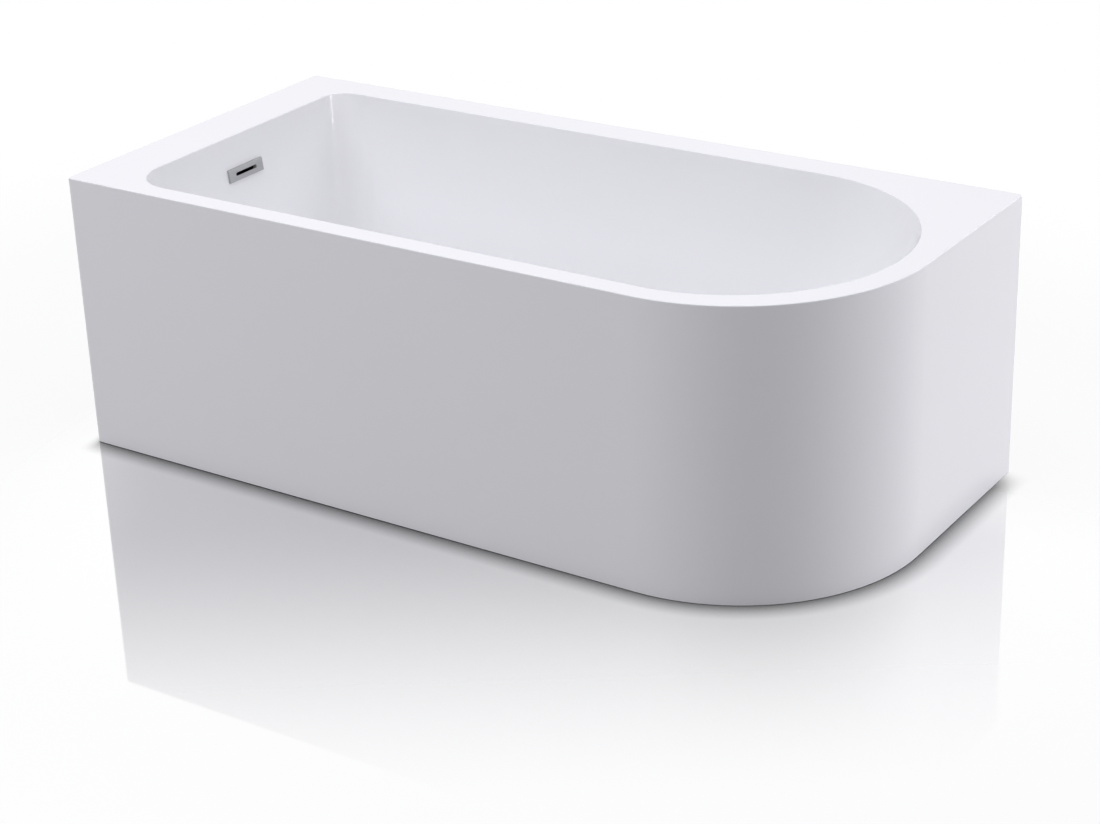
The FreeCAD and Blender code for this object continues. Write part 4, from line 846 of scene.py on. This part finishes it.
@dataclass(frozen=True)
class Floor:
    """The pale polished floor, which mirrors the tub's foot and fades to plain white around it.

    A pair of numbers is where a change over the floor starts and where it ends. Shares run from 0 to 1.
    """

    half: float = 40.0
    footprint: Triple = (0.85, 0.40, 0.0)
    fade: Span = (0.6, 1.6)
    turn: float = math.radians(34.2)
    mirror_most: float = 0.95
    mirror_ahead: Span = (-1.3, -0.2)
    mirror_left: Span = (-1.35, -0.75)
    mirror_at_walls: float = 0.12
    mirror_back: Span = (0.05, 0.42)
    mirror_end: Span = (-1.05, -0.82)
    contact_reach: float = 0.054
    contact_left: float = 0.2
    contact_open: Span = (0.5, 1.0)
    contact_end: Span = (-0.875, -0.835)
    contact_back: Span = (0.31, 0.41)
    shadow_reach: float = 0.7
    shadow_open: Span = (0.1, 0.5)
    glow: Span = (0.1, 0.85)
    gloss: float = 0.03
    pale: tuple[float, ...] = (0.93, 0.93, 0.94, 1.0)
    dim: tuple[float, ...] = (0.25, 0.25, 0.25, 1.0)
    look_ups: int = 8

    def outside(self, shader: Shader) -> Socket:
        """How far a place lies outside the tub's footprint.

        Args:
            shader: the floor's tree.

        Returns:
            The distance.
        """
        place = shader.place
        for operation, other in (("ABSOLUTE", NOUGHT), ("SUBTRACT", self.footprint), ("MAXIMUM", NOUGHT)):
            node = shader.nodes.new("ShaderNodeVectorMath")
            node.operation = operation
            node.inputs[1].default_value = other
            shader.links.new(place, node.inputs[0])
            place = node.outputs[0]
        length = shader.nodes.new("ShaderNodeVectorMath")
        length.operation = "LENGTH"
        shader.links.new(place, length.inputs[0])
        return length.outputs["Value"]

    def mirrored(self, shader: Shader) -> Socket:
        """How much the floor mirrors: most by the apron, and less in front and beside the two walls.

        Args:
            shader: the floor's tree.

        Returns:
            The share of the mirror image.
        """
        across, ahead = shader.split(shader.stretched((1.0, 1.0, 1.0), (0.0, 0.0, self.turn)))
        x, y = shader.split(shader.place)
        front = shader.sums(shader.between(ahead, 0.0, self.mirror_most, *self.mirror_ahead, soft=True),
                            shader.between(across, *FULL, *self.mirror_left, soft=True), "MULTIPLY")
        walls = shader.sums(shader.between(y, 1.0, self.mirror_at_walls, *self.mirror_back, soft=True),
                            shader.between(x, self.mirror_at_walls, 1.0, *self.mirror_end, soft=True),
                            "MULTIPLY")
        return shader.sums(front, walls, "MULTIPLY")

    def openness(self, shader: Shader, reach: float) -> Socket:
        """How open the floor is to what lies above it.

        Args:
            shader: the floor's tree.
            reach: how far up it looks.

        Returns:
            1 where nothing is near, and less where it is covered.
        """
        node = shader.nodes.new("ShaderNodeAmbientOcclusion")
        node.samples = self.look_ups
        node.inputs["Distance"].default_value = reach
        return node.outputs["AO"]

    def painted_contact_shadow(self, shader: Shader) -> Socket:
        """A painted shadow along the foot of the apron, darker where something stands close over the floor,
        which stops at the two walls.

        Args:
            shader: the floor's tree.

        Returns:
            The share of light that is left.
        """
        x, y = shader.split(shader.place)
        beside = shader.sums(shader.between(x, *FULL, *self.contact_end, soft=True),
                             shader.between(y, 1.0, 0.0, *self.contact_back, soft=True), "MULTIPLY")
        covered = shader.between(self.openness(shader, self.contact_reach), 1.0, 0.0, *self.contact_open)
        return shader.between(shader.sums(covered, beside, "MULTIPLY"), 1.0, self.contact_left, *FULL)

    def material(self) -> bpy.types.Material:
        """Builds the floor's look, which lights the tub less than it shows.

        Returns:
            The material.
        """
        shader = Shader("pale_floor")
        shader.nodes.remove(shader.surface)
        pale = shader.lobe("ShaderNodeBsdfDiffuse", Color=self.pale)
        dim = shader.lobe("ShaderNodeBsdfDiffuse", Color=self.dim)
        gloss = shader.lobe("ShaderNodeBsdfGlossy", Color=WHITE, Roughness=self.gloss)
        white = shader.lobe("ShaderNodeEmission", Color=WHITE, Strength=1.0)
        # The shade under the tub is partly the lamps' real shadow in the pale part and partly painted: the
        # white glow is taken away where the floor is covered.
        above = self.openness(shader, self.shadow_reach)
        glow = shader.between(above, *self.glow, *self.shadow_open, soft=True)
        polished = shader.blend(self.mirrored(shader), shader.blend(glow, pale, white), gloss)
        away = shader.between(self.outside(shader), *FULL, *self.fade, soft=True)
        # The painted contact shadow darkens all that the camera sees of the floor here, its white glow too.
        shaded = shader.blend(self.painted_contact_shadow(shader), None, shader.blend(away, polished, white))
        shown = shader.blend(seen_ray(shader.nodes, shader.links), dim, shaded)
        shader.links.new(shown, shader.nodes["Material Output"].inputs["Surface"])
        return shader.material

    def build(self) -> None:
        """Lays the floor, which isn't part of the tub."""
        work = bmesh.new()
        bmesh.ops.create_grid(work, x_segments=2, y_segments=2, size=self.half)
        data = bpy.data.meshes.new("floor")
        work.to_mesh(data)
        work.free()
        data.materials.append(self.material())
        floor = bpy.data.objects.new("floor", data)
        bpy.context.scene.collection.objects.link(floor)


@dataclass(frozen=True)
class Studio:
    """The camera, the white room, the floor and the lamps."""

    lens: float = 80.445
    sensor: float = 36.0
    eye: Triple = (2.5582, -3.7398, 2.1440)
    azimuth: float = math.radians(34.122)
    elevation: float = math.radians(24.311)
    roll: float = math.radians(-1.961)
    far: float = 200.0
    sky: float = 0.32

    def build_camera(self) -> None:
        """The camera at the photograph's place."""
        back = way_to(self.azimuth, self.elevation)
        right = (-back).cross(UP).normalized()
        up = right.cross(-back)
        turned = right * math.cos(self.roll) + up * math.sin(self.roll)
        risen = up * math.cos(self.roll) - right * math.sin(self.roll)
        data = bpy.data.cameras.new("camera")
        data.sensor_width = self.sensor
        data.lens = self.lens
        data.clip_end = self.far
        camera = bpy.data.objects.new("camera", data)
        bpy.context.scene.collection.objects.link(camera)
        axes = Matrix((turned, risen, back)).transposed().to_4x4()
        camera.matrix_world = Matrix.Translation(self.eye) @ axes
        bpy.context.scene.camera = camera

    def build_world(self) -> None:
        """A room that shows plain white and lights the tub only a little."""
        world = bpy.data.worlds.new("white_room")
        world.use_nodes = True
        bpy.context.scene.world = world
        nodes, links = world.node_tree.nodes, world.node_tree.links
        nodes.clear()
        dim, white = nodes.new("ShaderNodeBackground"), nodes.new("ShaderNodeBackground")
        dim.inputs["Color"].default_value = (*COOL_WHITE, 1.0)
        dim.inputs["Strength"].default_value = self.sky
        white.inputs["Color"].default_value = WHITE
        white.inputs["Strength"].default_value = 1.0
        mix, out = nodes.new("ShaderNodeMixShader"), nodes.new("ShaderNodeOutputWorld")
        links.new(seen_ray(nodes, links), mix.inputs[0])
        links.new(dim.outputs[0], mix.inputs[1])
        links.new(white.outputs[0], mix.inputs[2])
        links.new(mix.outputs[0], out.inputs["Surface"])

    def build(self) -> None:
        """Sets up the studio."""
        bpy.context.scene.view_settings.view_transform = "Standard"
        self.build_camera()
        self.build_world()
        Floor().build()
        for lamp in LAMPS:
            lamp.build()


def main() -> None:
    """Builds the studio, dresses the frame and adds the pieces that need more than a solid shows."""
    logging.basicConfig(level=logging.INFO, format="%(name)s: %(message)s")
    Studio().build()
    wardrobe = Wardrobe()
    wardrobe.dress_nodes()
    Overflow().build(wardrobe)
    PressPlug().build(wardrobe)
    LevellingFeet().build(wardrobe)


if __name__ == "__main__":
    main()
